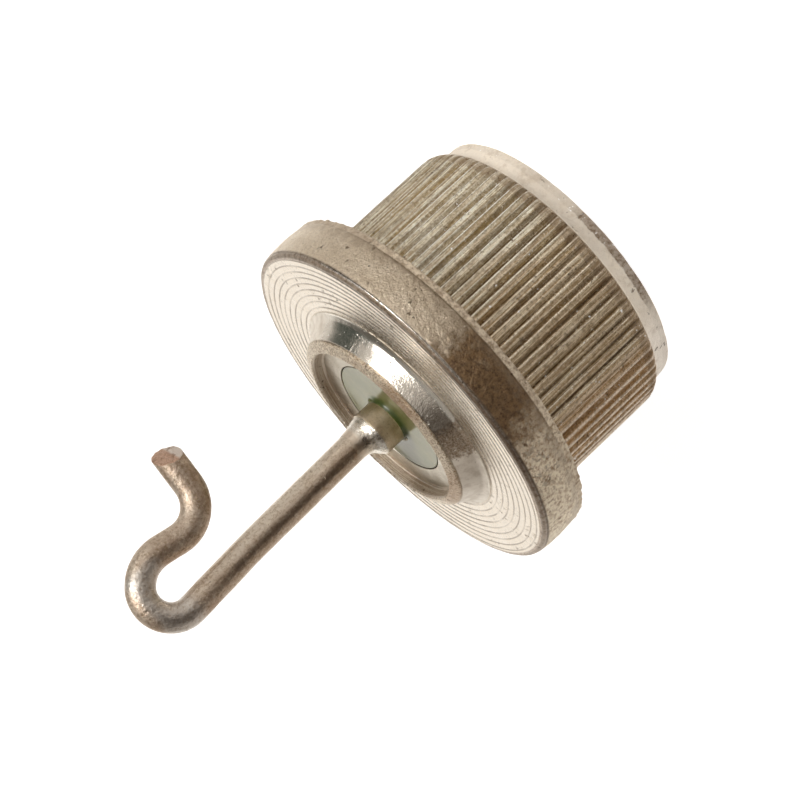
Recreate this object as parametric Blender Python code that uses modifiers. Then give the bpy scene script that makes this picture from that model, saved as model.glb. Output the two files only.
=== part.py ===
"""Press-fit rectifier diode with a hooked wire lead.

A knurled copper cup with a seating flange holds a soldered silicon stack.
A glass-to-metal header closes the cup and the cup's neck is swaged over it.
A tube through the glass carries the outside wire, whose end is bent into
a hook that is closed round another wire and soldered.

Frame: metres, +Z up. The origin is the centre of the cup's flat rear face.
+Z, called front below, runs along the cup's axis towards the hook. The hook
lies in the XZ plane and its eye bulges towards +X.
"""
import math

import bmesh
import bpy

MM = 0.001

# ---- driving dimensions, in millimetres and degrees ---------------------------
FIT = 0.02                 # clearance left between neighbouring pieces

# knurled cup
KNURL_D = 12.80            # over the crests, pressed into a 12.65-12.70 bore
KNURL_TEETH = 75
KNURL_DEPTH = 0.17
KNURL_FADE_Z = 1.50        # the crests start to fall away here
PILOT_D = 11.98            # smooth lead-in behind the knurl
PILOT_L = 0.90
FLANGE_REAR_Z = 6.73
FLANGE_FRONT_Z = 8.88
FLANGE_D = 15.60
CAVITY_D = 6.90
CAVITY_FLOOR_Z = 5.20
SEAT_D = 8.00              # counterbore that takes the header
SEAT_Z = 8.26

# swaged neck
NECK_BASE_D = 9.56
NECK_TOP_D = 8.38
NECK_TOP_Z = 9.77
LIP_D = 7.32               # mouth of the swaged lip
LIP_TOP_Z = 9.98

# header
RECESS_Z = 9.46            # front of the header ring and of the glass
HEADER_D = 7.90
HEADER_H = 1.04
HEADER_REAR_Z = RECESS_Z - HEADER_H
GLASS_D = 5.20
GLASS_H = 0.90
WASHER_STEP = 0.06         # the washer's hole is this much outside the cavity wall
TUBE_D = 1.93
TUBE_BORE = 1.66
TUBE_TOP_Z = 10.46
TUBE_BOTTOM_Z = 8.10

# outside lead, from its blind end to the tip of the hook
WIRE_D = 1.20
WIRE_END_Z = 9.30          # blind end inside the tube
WIRE_OFFSET = 0.16         # the wire stands off the axis at the tube's mouth
WIRE_JOG = 0.03            # the end inside the tube stands off by this much less
JOG_START_Z = TUBE_TOP_Z - 0.30
JOG_END_Z = TUBE_TOP_Z + 0.04
LEAN_DEG = -1.45           # from the mouth the wire leans back across the axis
SHANK_L = 6.03
BOW_R, BOW_DEG = 27.0, -1.9
HOOK_LEG_L = 2.80          # straight between the bow and the eye
EYE_R1, EYE_DEG1 = 1.14, 131.0
EYE_R2, EYE_DEG2 = 1.62, 63.0
THROAT_L = 0.83
REVERSE_R, REVERSE_DEG = 1.48, -94.5
TIP_L = 1.26

# solder in the tube
FILL_BOTTOM_Z = 8.55
FILL_TOP_Z = TUBE_TOP_Z + 0.98

# silicon stack
STACK_GAP = 0.02
SOLDER_T = 0.05
LOWER_DISC_D, LOWER_DISC_T = 4.60, 0.40
DIE_D, DIE_TOP_D, DIE_T = 4.30, 4.00, 0.28
UPPER_DISC_D, UPPER_DISC_T = 3.30, 0.30
COAT_R = 0.68              # radius of the bead's outer curve

# inside lead
FOOT_D, FOOT_T = 2.60, 0.25
INNER_LEAD_D = 0.80
INNER_TOP_Z = 9.00
INNER_BEND_R, INNER_BEND_DEG = 0.50, 62.0
INNER_FOOT_STRAIGHT = 0.02  # straight between the foot and the first bend
INNER_CUT_BELOW = 0.50     # the clearance cutter starts this far below the solder

# mesh settings
SMOOTH_ANGLE_DEG = 32.0    # edges sharper than this stay sharp
MERGE_DISTANCE = 1e-7      # metres, for baked meshes
SCREW_MERGE = 1e-6         # metres, for points on the turning axis
CREST_TOLERANCE = 0.002    # mm, for finding the vertices on the crests


# ---- scene ----------------------------------------------------------------------
for old in list(bpy.data.objects):
    bpy.data.objects.remove(old, do_unlink=True)

parts = bpy.data.collections.new("press_fit_diode")
cutters = bpy.data.collections.new("cutters")
for group in (parts, cutters):
    bpy.context.scene.collection.children.link(group)


# ---- materials ------------------------------------------------------------------
def material(name, colour, roughness, metallic=1.0):
    mat = bpy.data.materials.new(name)
    mat.use_nodes = True
    inputs = mat.node_tree.nodes["Principled BSDF"].inputs
    inputs["Base Color"].default_value = (*colour, 1.0)
    inputs["Roughness"].default_value = roughness
    inputs["Metallic"].default_value = metallic
    return mat


PLATED = material("plated_copper", colour=(0.60, 0.55, 0.46), roughness=0.42)
STEEL = material("header_steel", colour=(0.66, 0.62, 0.55), roughness=0.35)
SOFT_METAL = material("soft_metal", colour=(0.38, 0.37, 0.37), roughness=0.55)
GLASS = material("seal_glass", colour=(0.52, 0.57, 0.45), roughness=0.18, metallic=0.0)
TUBE = material("terminal_tube", colour=(0.48, 0.43, 0.35), roughness=0.38)
TINNED = material("tinned_wire", colour=(0.50, 0.43, 0.33), roughness=0.40)
SOLDER = material("solder", colour=(0.72, 0.70, 0.66), roughness=0.22)
COPPER = material("bare_copper", colour=(0.80, 0.42, 0.27), roughness=0.35)
MOLY = material("molybdenum", colour=(0.45, 0.46, 0.48), roughness=0.40)
SILICON = material("silicon", colour=(0.16, 0.17, 0.21), roughness=0.16, metallic=0.6)
SILICONE = material("silicone_rubber", colour=(0.70, 0.68, 0.62), roughness=0.50,
                    metallic=0.0)


# ---- shape helpers --------------------------------------------------------------
def finish(obj, mat):
    """Give a piece its material and smooth its round faces."""
    obj.data.materials.clear()
    obj.data.materials.append(mat)
    obj.data.shade_smooth()
    obj.data.set_sharp_from_angle(angle=math.radians(SMOOTH_ANGLE_DEG))


def as_cutter(obj):
    """Hide a boolean helper from renders."""
    obj.hide_render = True
    obj.display_type = 'WIRE'
    return obj


def linked(name, data, collection):
    obj = bpy.data.objects.new(name, data)
    collection.objects.link(obj)
    return obj


def baked(obj, name, collection):
    """A plain mesh object with the evaluated shape of obj, which is removed."""
    bpy.context.view_layer.update()
    depsgraph = bpy.context.evaluated_depsgraph_get()
    mesh = bpy.data.meshes.new_from_object(obj.evaluated_get(depsgraph))
    bpy.data.objects.remove(obj, do_unlink=True)
    mesh.name = name
    bm = bmesh.new()
    bm.from_mesh(mesh)
    bmesh.ops.remove_doubles(bm, verts=bm.verts, dist=MERGE_DISTANCE)
    bm.to_mesh(mesh)
    bm.free()
    return linked(name, mesh, collection)


def turned(name, profile, steps, closed=False):
    """Turn a profile of (radius, height) in mm about Z with a Screw modifier.

    An open profile starts and ends on the axis.
    """
    verts = [(r * MM, 0.0, z * MM) for r, z in profile]
    edges = [(i, i + 1) for i in range(len(verts) - 1)]
    if closed:
        edges.append((len(verts) - 1, 0))
    mesh = bpy.data.meshes.new(name)
    mesh.from_pydata(verts, edges, [])
    obj = linked(name, mesh, parts)
    screw = obj.modifiers.new("turn", 'SCREW')
    screw.axis = 'Z'
    screw.angle = math.tau
    screw.steps = steps
    screw.render_steps = steps
    screw.use_merge_vertices = True
    screw.merge_threshold = SCREW_MERGE
    screw.use_smooth_shade = True
    return obj


def disc(name, r_bottom, r_top, z_bottom, z_top, segments=48, collection=parts):
    """A plain round slug, straight or tapered."""
    bm = bmesh.new()
    bmesh.ops.create_cone(bm, cap_ends=True, cap_tris=False, segments=segments,
                          radius1=r_bottom * MM, radius2=r_top * MM,
                          depth=(z_top - z_bottom) * MM)
    bmesh.ops.translate(bm, verts=bm.verts,
                        vec=(0.0, 0.0, 0.5 * (z_top + z_bottom) * MM))
    mesh = bpy.data.meshes.new(name)
    bm.to_mesh(mesh)
    bm.free()
    return linked(name, mesh, collection)


def wire(name, points, diameter, sides, collection=parts):
    """A round wire with filled caps along (x, z) points in the XZ plane."""
    curve = bpy.data.curves.new(name, 'CURVE')
    curve.dimensions = '3D'
    curve.bevel_depth = 0.5 * diameter * MM
    curve.bevel_resolution = (sides - 4) // 2
    curve.use_fill_caps = True
    spline = curve.splines.new('POLY')
    spline.points.add(len(points) - 1)
    for point, (x, z) in zip(spline.points, points):
        point.co = (x * MM, 0.0, z * MM, 1.0)
    return baked(linked(name, curve, collection), name, collection)


def boolean(obj, other, operation):
    mod = obj.modifiers.new(operation.lower(), 'BOOLEAN')
    mod.operation = operation
    mod.solver = 'EXACT'
    mod.object = other


def arc(centre_r, centre_z, radius, start_deg, end_deg, count):
    """Points of an arc in the (radius, height) plane, ends included."""
    points = []
    for i in range(count + 1):
        angle = math.radians(start_deg + (end_deg - start_deg) * i / count)
        points.append((centre_r + radius * math.cos(angle),
                       centre_z + radius * math.sin(angle)))
    return points


class Pen:
    """Draws a bent wire in the XZ plane, setting out along +Z."""

    def __init__(self, x, z):
        self.x, self.z = x, z
        self.heading = 0.0      # radians from +Z towards +X
        self.points = [(x, z)]

    def line_to(self, x, z):
        self.x, self.z = x, z
        self.points.append((x, z))

    def straight(self, length):
        self.line_to(self.x + length * math.sin(self.heading),
                     self.z + length * math.cos(self.heading))

    def bend(self, radius, sweep_deg, count):
        """Turn by sweep_deg; a positive sweep turns from +Z towards +X."""
        sweep = math.radians(sweep_deg)
        start = self.heading
        signed_r = math.copysign(radius, sweep)
        centre_x = self.x + signed_r * math.cos(start)
        centre_z = self.z - signed_r * math.sin(start)
        for i in range(1, count + 1):
            self.heading = start + sweep * i / count
            self.line_to(centre_x - signed_r * math.cos(self.heading),
                         centre_z + signed_r * math.sin(self.heading))
        self.heading = start + sweep


# ---- knurled cup ----------------------------------------------------------------
def build_cup():
    cavity_r, seat_r = CAVITY_D / 2, SEAT_D / 2
    lip_r, top_r, neck_r = LIP_D / 2, NECK_TOP_D / 2, NECK_BASE_D / 2
    flange_r, crest_r, pilot_r = FLANGE_D / 2, KNURL_D / 2, PILOT_D / 2
    root_r = crest_r - KNURL_DEPTH
    columns = 2 * KNURL_TEETH      # one crest and one root per tooth

    # (radius, height), from the cavity floor round to the rear face
    cup = turned("knurled_case", [
        # cavity and header seat
        (0.0, CAVITY_FLOOR_Z),
        (cavity_r, CAVITY_FLOOR_Z),
        (cavity_r, SEAT_Z),
        (seat_r, SEAT_Z),
        (seat_r, RECESS_Z + FIT),
        # underside, mouth and top of the swaged lip
        (lip_r + 0.02, RECESS_Z + FIT + 0.02),
        (lip_r, LIP_TOP_Z - 0.06),
        (lip_r + 0.08, LIP_TOP_Z),
        (top_r - 0.10, NECK_TOP_Z + 0.05),
        (top_r, NECK_TOP_Z - 0.04),
        # burnished cone of the neck and the fillet at its base
        (top_r + 0.24, NECK_TOP_Z - 0.42),
        (neck_r - 0.14, FLANGE_FRONT_Z + 0.14),
        (neck_r + 0.02, FLANGE_FRONT_Z + 0.03),
        (neck_r + 0.06, FLANGE_FRONT_Z),
        # flange with rounded edges
        (flange_r - 0.26, FLANGE_FRONT_Z),
        (flange_r - 0.09, FLANGE_FRONT_Z - 0.08),
        (flange_r - 0.01, FLANGE_FRONT_Z - 0.34),
        (flange_r, (FLANGE_FRONT_Z + FLANGE_REAR_Z) / 2),
        (flange_r - 0.06, FLANGE_REAR_Z + 0.14),
        (flange_r - 0.20, FLANGE_REAR_Z),
        # knurl
        (crest_r, FLANGE_REAR_Z),
        (crest_r, KNURL_FADE_Z),
        (root_r, PILOT_L + 0.08),
        # pilot and rear face
        (pilot_r, PILOT_L),
        (pilot_r - 0.01, 0.10),
        (pilot_r - 0.11, 0.0),
        (0.0, 0.0),
    ], steps=columns)
    cup = baked(cup, "knurled_case", parts)

    # Every second column of the knurled band is pushed in to the root radius.
    for vert in cup.data.vertices:
        radius = math.hypot(vert.co.x, vert.co.y) / MM
        column = round(math.atan2(vert.co.y, vert.co.x) / math.tau * columns)
        if abs(radius - crest_r) < CREST_TOLERANCE and column % 2:
            vert.co.x *= root_r / crest_r
            vert.co.y *= root_r / crest_r
    finish(cup, PLATED)


# ---- header ---------------------------------------------------------------------
def build_washer():
    """Soft ring between the cup's seat and the header ring."""
    inner_r, outer_r = CAVITY_D / 2 + WASHER_STEP, HEADER_D / 2
    top_z, bottom_z = HEADER_REAR_Z - FIT, SEAT_Z + FIT
    washer = turned("seal_washer", [
        (inner_r, top_z),
        (outer_r, top_z),
        (outer_r, bottom_z),
        (inner_r, bottom_z),
    ], steps=64, closed=True)
    finish(washer, SOFT_METAL)


def build_header_ring():
    inner_r, outer_r = GLASS_D / 2 + FIT, HEADER_D / 2
    ring = turned("header_ring", [
        (inner_r, RECESS_Z),
        (outer_r - 0.04, RECESS_Z),
        (outer_r, RECESS_Z - 0.06),
        (outer_r, HEADER_REAR_Z),
        (inner_r + 0.10, HEADER_REAR_Z),
        (inner_r, HEADER_REAR_Z + 0.10),
    ], steps=64, closed=True)
    finish(ring, STEEL)


def build_glass():
    """Glass between the ring and the tube, with a meniscus up the tube."""
    inner_r, outer_r = TUBE_D / 2 + FIT, GLASS_D / 2
    rear_z = RECESS_Z - GLASS_H
    meniscus_r = 0.20
    glass = turned("glass_seal", [
        (inner_r, RECESS_Z + 0.13),
        (inner_r + 0.05, RECESS_Z + 0.10),
        *arc(inner_r + 0.25, RECESS_Z + meniscus_r, meniscus_r, 225.0, 270.0, 3),
        (outer_r - 0.03, RECESS_Z),
        (outer_r, RECESS_Z - 0.03),
        (outer_r, rear_z + 0.06),
        (outer_r - 0.20, rear_z),
        (inner_r + 0.12, rear_z),
        (inner_r, rear_z - 0.08),
    ], steps=48, closed=True)
    finish(glass, GLASS)


def build_tube():
    bore_r, outer_r = TUBE_BORE / 2, TUBE_D / 2
    chamfer = 0.03
    tube = turned("terminal_tube", [
        (bore_r, TUBE_TOP_Z),
        (outer_r - chamfer, TUBE_TOP_Z),
        (outer_r, TUBE_TOP_Z - chamfer),
        (outer_r, TUBE_BOTTOM_Z),
        (bore_r, TUBE_BOTTOM_Z),
    ], steps=40, closed=True)
    finish(tube, TUBE)


# ---- outside lead ---------------------------------------------------------------
def lead_path(start_z, hooked):
    """The lead's centre line from inside the tube to the shank's end or the tip."""
    pen = Pen(WIRE_OFFSET - WIRE_JOG, start_z)
    pen.straight(JOG_START_Z - start_z)
    pen.line_to(WIRE_OFFSET, JOG_END_Z)
    pen.heading = math.radians(LEAN_DEG)
    pen.straight(SHANK_L)
    if hooked:
        pen.bend(BOW_R, BOW_DEG, 2)
        pen.straight(HOOK_LEG_L)
        pen.bend(EYE_R1, EYE_DEG1, 12)
        pen.bend(EYE_R2, EYE_DEG2, 6)
        pen.straight(THROAT_L)
        pen.bend(REVERSE_R, REVERSE_DEG, 9)
        pen.straight(TIP_L)
    return pen.points


def build_lead():
    lead = wire("lead_wire", lead_path(WIRE_END_Z, hooked=True), WIRE_D, sides=14)
    finish(lead, TINNED)


def build_lead_solder():
    """Solder filling the tube round both leads and coned up the outside one."""
    wire_r, bore_r, tube_r = WIRE_D / 2, TUBE_BORE / 2, TUBE_D / 2
    solder = turned("lead_solder", [
        # cone round the outside lead
        (0.0, FILL_TOP_Z),
        (wire_r + 0.16, FILL_TOP_Z - 0.03),
        (wire_r + 0.19, TUBE_TOP_Z + 0.60),
        (wire_r + 0.25, TUBE_TOP_Z + 0.28),
        (tube_r - 0.05, TUBE_TOP_Z + 0.12),
        # over the tube's end and down its bore
        (tube_r - 0.02, TUBE_TOP_Z + FIT),
        (bore_r - FIT, TUBE_TOP_Z + FIT),
        (bore_r - FIT, FILL_BOTTOM_Z + 0.05),
        (bore_r - 0.10, FILL_BOTTOM_Z),
        (0.0, FILL_BOTTOM_Z),
    ], steps=40)
    solder = baked(solder, "lead_solder", parts)
    finish(solder, SOLDER)

    lead_cut = wire("lead_cutter", lead_path(WIRE_END_Z - FIT, hooked=False),
                    WIRE_D + 2 * FIT, sides=24, collection=cutters)
    inner_r = INNER_LEAD_D / 2 + FIT
    inner_cut = disc("inner_lead_cutter", inner_r, inner_r,
                     FILL_BOTTOM_Z - INNER_CUT_BELOW, INNER_TOP_Z + FIT,
                     segments=24, collection=cutters)
    for cutter in (lead_cut, inner_cut):
        boolean(solder, as_cutter(cutter), 'DIFFERENCE')


# ---- silicon stack --------------------------------------------------------------
def build_stack():
    """Stack the slugs up from the cavity floor; return each one's top height."""
    lower_r, die_r, die_top_r = LOWER_DISC_D / 2, DIE_D / 2, DIE_TOP_D / 2
    upper_r, foot_r = UPPER_DISC_D / 2, FOOT_D / 2
    # name, bottom radius, top radius, thickness, material
    stack = [
        ("base_solder", lower_r + 0.03, lower_r - 0.02, SOLDER_T, SOLDER),
        ("lower_disc", lower_r, lower_r, LOWER_DISC_T, MOLY),
        ("die_solder_lower", die_r - 0.03, die_r - 0.06, SOLDER_T, SOLDER),
        ("silicon_die", die_r, die_top_r, DIE_T, SILICON),
        ("die_solder_upper", upper_r - 0.02, upper_r - 0.06, SOLDER_T, SOLDER),
        ("upper_disc", upper_r, upper_r, UPPER_DISC_T, MOLY),
        ("foot_solder", foot_r, foot_r - 0.05, SOLDER_T, SOLDER),
    ]
    tops = {}
    level = CAVITY_FLOOR_Z
    for name, r_bottom, r_top, thickness, mat in stack:
        bottom = level + STACK_GAP
        level = bottom + thickness
        finish(disc(name, r_bottom, r_top, bottom, level), mat)
        tops[name] = level
    return tops


def build_coating(disc_top, die_top):
    """Silicone rubber bead round the edge of the silicon."""
    lower_r, die_r, upper_r = LOWER_DISC_D / 2, DIE_D / 2, UPPER_DISC_D / 2
    coat = turned("junction_coating", [
        # outer surface, from the upper disc down to the cavity floor
        (upper_r + 0.05, die_top + 0.26),
        *arc(die_r + 0.05, disc_top - 0.02, COAT_R, 72.0, 8.0, 6),
        (lower_r + 0.50, CAVITY_FLOOR_Z + 0.06),
        (lower_r + 0.40, CAVITY_FLOOR_Z + FIT),
        # inner surface, back up the steps of the stack
        (lower_r + 0.06, CAVITY_FLOOR_Z + FIT),
        (lower_r + 0.03, disc_top + FIT),
        (die_r + 0.03, disc_top + FIT),
        (die_r + 0.02, die_top + FIT),
        (upper_r + 0.05, die_top + FIT),
    ], steps=48, closed=True)
    finish(coat, SILICONE)


# ---- inside lead ----------------------------------------------------------------
def build_inner_lead(foot_z):
    """A nail head with a stem that bows towards +X and returns to the axis."""
    pen = Pen(0.0, foot_z + FOOT_T / 2)
    pen.straight(FOOT_T / 2 + INNER_FOOT_STRAIGHT)
    pen.bend(INNER_BEND_R, INNER_BEND_DEG, 5)
    pen.bend(INNER_BEND_R, -2 * INNER_BEND_DEG, 9)
    pen.bend(INNER_BEND_R, INNER_BEND_DEG, 5)
    pen.straight(INNER_TOP_Z - pen.z)
    stem = as_cutter(wire("inner_lead_stem", pen.points, INNER_LEAD_D, sides=12,
                          collection=cutters))
    finish(stem, COPPER)
    foot = disc("inner_lead", FOOT_D / 2, FOOT_D / 2, foot_z, foot_z + FOOT_T)
    finish(foot, COPPER)
    boolean(foot, stem, 'UNION')


# ---- build ----------------------------------------------------------------------
build_cup()
build_washer()
build_header_ring()
build_glass()
build_tube()
build_lead()
build_lead_solder()
stack_tops = build_stack()
build_coating(stack_tops["lower_disc"], stack_tops["silicon_die"])
build_inner_lead(stack_tops["foot_solder"] + STACK_GAP)
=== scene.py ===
"""A press-fit diode in a knurled cup, with a hooked wire lead.

The piece stands on the row's Z axis: the cup's flat rear face lies at z = 0, the flange and
the glass-sealed header are above it, and the lead leaves upwards and hooks over towards +X.
The camera looks from the -Y side. Shape numbers are in millimetres, meshes in metres.
A profile is a list of (radius, z) points; a bearing is 0 at -Y and 90 degrees at +X.
"""
import math
from itertools import product

import bpy
import numpy as np
from mathutils import Matrix, Vector


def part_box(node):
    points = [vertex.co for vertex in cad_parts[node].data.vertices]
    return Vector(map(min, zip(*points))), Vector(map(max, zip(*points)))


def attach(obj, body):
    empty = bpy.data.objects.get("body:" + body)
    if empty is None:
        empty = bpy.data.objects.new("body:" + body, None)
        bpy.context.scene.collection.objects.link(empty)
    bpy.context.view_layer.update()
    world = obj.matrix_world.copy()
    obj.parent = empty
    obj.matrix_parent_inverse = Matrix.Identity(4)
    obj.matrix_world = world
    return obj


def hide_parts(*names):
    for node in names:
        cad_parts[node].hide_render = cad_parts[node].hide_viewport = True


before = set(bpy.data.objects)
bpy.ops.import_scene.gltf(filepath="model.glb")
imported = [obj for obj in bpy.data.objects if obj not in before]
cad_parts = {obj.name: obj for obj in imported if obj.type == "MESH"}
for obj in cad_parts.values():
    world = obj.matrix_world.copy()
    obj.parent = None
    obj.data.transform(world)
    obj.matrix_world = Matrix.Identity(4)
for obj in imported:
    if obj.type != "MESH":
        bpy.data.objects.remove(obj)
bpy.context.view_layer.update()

TAU = math.tau
MM = 0.001


def extent(node):
    """Outer radius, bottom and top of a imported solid."""
    low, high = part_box(node)
    return high.x / MM, low.z / MM, high.z / MM


# =============================================================================
# driving sizes
# =============================================================================
FLANGE_RADIUS, _, LIP_TOP = extent("knurled_case")
TUBE_RADIUS, TUBE_BOTTOM, TUBE_TOP = extent("terminal_tube")
HEADER_RADIUS, HEADER_BOTTOM, HEADER_TOP = extent("header_ring")
GLASS_RADIUS, GLASS_BOTTOM, _ = extent("glass_seal")

FACE, SEAT_FACE = 8.88, 6.73                 # the flange's upper and lower faces
CAVITY_FLOOR = 5.20
PILOT_RADIUS = 5.99
RIM_FOOT = 7.085                             # where the rim meets its ragged lower lip

FACE_PITCH, SPIRAL_START = 0.296, 4.95       # the tool's spiral on the flange face
# dents in the flange face: x, y, radius, depth
DENTS = [
    (7.18, 0.50, 0.08, 0.05), (7.06, 0.62, 0.07, 0.045), (7.40, 0.18, 0.07, 0.04),
    (7.24, 0.34, 0.06, 0.03), (-7.02, -1.73, 0.09, 0.06), (-7.09, -1.12, 0.07, 0.03),
    (-5.02, -0.73, 0.05, 0.03), (-6.44, -0.71, 0.05, 0.03), (-6.84, -0.38, 0.05, 0.03),
    (-5.56, 0.16, 0.05, 0.03), (6.75, -2.36, 0.05, 0.03), (4.4, -4.6, 0.05, 0.03)]

KNURL_RADIUS, TEETH = 6.40, 75
TOOTH_SHIFT, PLAIN_SHIFT = 0.12, 0.88        # start of a lipped and a plain tooth, in pitches
# one lipped tooth: phase along the pitch, drop below the crest
TOOTH_PHASE, TOOTH_DROP = np.array([
    (0.00, 0.020), (0.06, 0.036), (0.15, 0.044), (0.27, 0.042), (0.37, 0.026), (0.435, 0.000),
    (0.485, 0.020), (0.55, 0.125), (0.62, 0.165), (0.72, 0.135), (0.83, 0.095), (0.93, 0.045)]).T

WIRE_RADIUS = 0.60
WIRE_FOOT_X, WIRE_X = 0.13, 0.16             # the lead's offset in the tube and at its mouth
STEM_RADIUS = 0.40                           # the lead inside the cup


# =============================================================================
# shape tools
# =============================================================================
def lattice(x, y, z, seed):
    """A repeatable number in 0..1 for each lattice point."""
    code = (x.astype(np.int64) * 73856093) ^ (y.astype(np.int64) * 19349663) \
        ^ (z.astype(np.int64) * 83492791) ^ (seed * 668265263)
    code &= 0xFFFFFFFF
    code = ((code ^ (code >> 15)) * 2246822519) & 0xFFFFFFFF
    code = ((code ^ (code >> 13)) * 3266489917) & 0xFFFFFFFF
    code ^= code >> 16
    return (code & 0xFFFFFF) / float(0x1000000)


def noise(points, scale, seed=0, octaves=1):
    """Smooth value noise in -1..1 at points (N, 3), in cells of 1/scale."""
    points = np.asarray(points, float)
    total, amplitude, norm = np.zeros(len(points)), 1.0, 0.0
    for octave in range(octaves):
        place = points * scale * (2 ** octave) + 17.3 * octave
        cell = np.floor(place)
        fade = place - cell
        fade = fade * fade * (3 - 2 * fade)
        share = (1 - fade, fade)
        value = np.zeros(len(points))
        for i, j, k in product((0, 1), repeat=3):
            weight = share[i][:, 0] * share[j][:, 1] * share[k][:, 2]
            value += weight * lattice(cell[:, 0] + i, cell[:, 1] + j, cell[:, 2] + k,
                                      seed + 31 * octave)
        total += amplitude * (2 * value - 1)
        norm += amplitude
        amplitude *= 0.5
    return total / norm


def smooth(start, end, x):
    """0 at start, 1 at end, eased at both."""
    share = np.clip((x - start) / (end - start), 0, 1)
    return share * share * (3 - 2 * share)


def fillet(corners, segments=4):
    """Rounds a profile. corners is a list of (radius, z, rounding)."""
    corners = np.array(corners, float)
    points = corners[:, :2]
    out = []
    for i, (point, rounding) in enumerate(zip(points, corners[:, 2])):
        if rounding <= 0 or i == 0 or i == len(points) - 1:
            out.append(point)
            continue
        before, after = points[i - 1] - point, points[i + 1] - point
        len_before, len_after = np.linalg.norm(before), np.linalg.norm(after)
        before, after = before / len_before, after / len_after
        half = math.acos(np.clip(before @ after, -1, 1)) / 2
        cut = min(rounding / math.tan(half), 0.48 * len_before, 0.48 * len_after)
        radius = cut * math.tan(half)
        middle = (before + after) / np.linalg.norm(before + after)
        centre = point + middle * (radius / math.sin(half))
        first, last = point + before * cut - centre, point + after * cut - centre
        start = math.atan2(first[1], first[0])
        sweep = (math.atan2(last[1], last[0]) - start + math.pi) % TAU - math.pi
        for k in range(segments + 1):
            angle = start + sweep * k / segments
            out.append(centre + radius * np.array([math.cos(angle), math.sin(angle)]))
    return np.array(out)


def densify(points, step):
    """Adds points so that no stretch of the profile is longer than step."""
    points = np.asarray(points, float)
    out = [points[0]]
    for start, end in zip(points[:-1], points[1:]):
        count = max(1, int(math.ceil(np.linalg.norm(end - start) / step)))
        for k in range(1, count + 1):
            out.append(start + (end - start) * k / count)
    return np.array(out)


def profile_normals(profile, closed=False):
    """Outward normals (radial, axial) of a profile that runs downwards on the outside."""
    if closed:
        along = np.roll(profile, -1, 0) - np.roll(profile, 1, 0)
    else:
        along = np.gradient(profile, axis=0)
    along /= np.maximum(np.linalg.norm(along, axis=1), 1e-12)[:, None]
    return np.stack([-along[:, 1], along[:, 0]], 1)


def angles(columns):
    return np.arange(columns) / columns * TAU


def hoop(angle, radius, z, x=0.0):
    """Points of a level circle about (x, 0); angle is measured from +X."""
    return np.stack([x + radius * np.cos(angle), radius * np.sin(angle),
                     np.full(len(angle), z)], 1)


class Rings:
    """A skin built ring by ring, whose rings may differ in count."""

    def __init__(self):
        self.verts, self.faces, self.count = [], [], 0
        self.last = self.first = None        # rings as (start index, count)

    def ring(self, points):
        """Adds a ring (N, 3), or a single closing point, and joins it to the last."""
        points = np.atleast_2d(np.asarray(points, float))
        self.verts.append(points)
        self._join((self.count, len(points)))
        self.count += len(points)

    def pole(self, z):
        self.ring((0.0, 0.0, z))

    def close(self):
        """Joins the last ring to the first, for a profile that is a loop."""
        self._join(self.first)

    def profile(self, profile, columns, push=None, facing=None, closed=False):
        """Turns a profile about Z. push(points, angle, radius, z, normals) gives an offset
        along the normals; facing replaces the profile's own (radial, axial) normals."""
        profile = np.asarray(profile, float)
        if facing is None:
            normals = profile_normals(profile, closed)
        else:
            normals = np.tile(facing, (len(profile), 1))
        angle = angles(columns)
        for (radius, z), (radial, axial) in zip(profile, normals):
            if radius < 1e-6:
                self.pole(z)
                continue
            points = hoop(angle, radius, z)
            if push is not None:
                normal = hoop(angle, radial, axial)
                points = points + normal * push(points, angle, radius, z, normal)[:, None]
            self.ring(points)
        if closed:
            self.close()

    def _join(self, new):
        if self.last is None:
            self.last = self.first = new
            return
        (a, count_a), (b, count_b) = self.last, new
        self.last = new
        if count_a == count_b:
            j = np.arange(count_a)
            k = (j + 1) % count_a
            self.faces.append(np.stack([a + j, b + j, b + k, a + k], 1))
        elif count_a == 1:
            j = np.arange(count_b)
            self.faces.append(np.stack([np.full(count_b, a), b + j, b + (j + 1) % count_b], 1))
        elif count_b == 1:
            j = np.arange(count_a)
            self.faces.append(np.stack([a + j, np.full(count_a, b), a + (j + 1) % count_a], 1))
        else:
            # walk both rings together, each step on the one that lags in angle
            triangles, i, j = [], 0, 0
            while i < count_a or j < count_b:
                if j >= count_b or (i < count_a and (i + 0.5) * count_b <= (j + 0.5) * count_a):
                    triangles.append((a + i, b + j % count_b, a + (i + 1) % count_a))
                    i += 1
                else:
                    triangles.append((a + i % count_a, b + j, b + (j + 1) % count_b))
                    j += 1
            self.faces.append(np.array(triangles))

    def mesh(self, name, *materials, flip=False, sharp=None):
        """The finished object; edges steeper than sharp degrees stay crisp."""
        faces = []
        for block in self.faces:
            faces.extend((block[:, ::-1] if flip else block).tolist())
        mesh = bpy.data.meshes.new(name)
        mesh.from_pydata((np.concatenate(self.verts) * MM).tolist(), [], faces)
        mesh.validate()
        for material in materials:
            mesh.materials.append(material)
        mesh.shade_smooth()
        if sharp:
            mesh.set_sharp_from_angle(angle=math.radians(sharp))
        body = bpy.data.objects.new(name, mesh)
        bpy.context.scene.collection.objects.link(body)
        return body


def turned(name, profile, columns, material, push, closed=False):
    rings = Rings()
    rings.profile(profile, columns, push, closed=closed)
    return rings.mesh(name, material)


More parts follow.
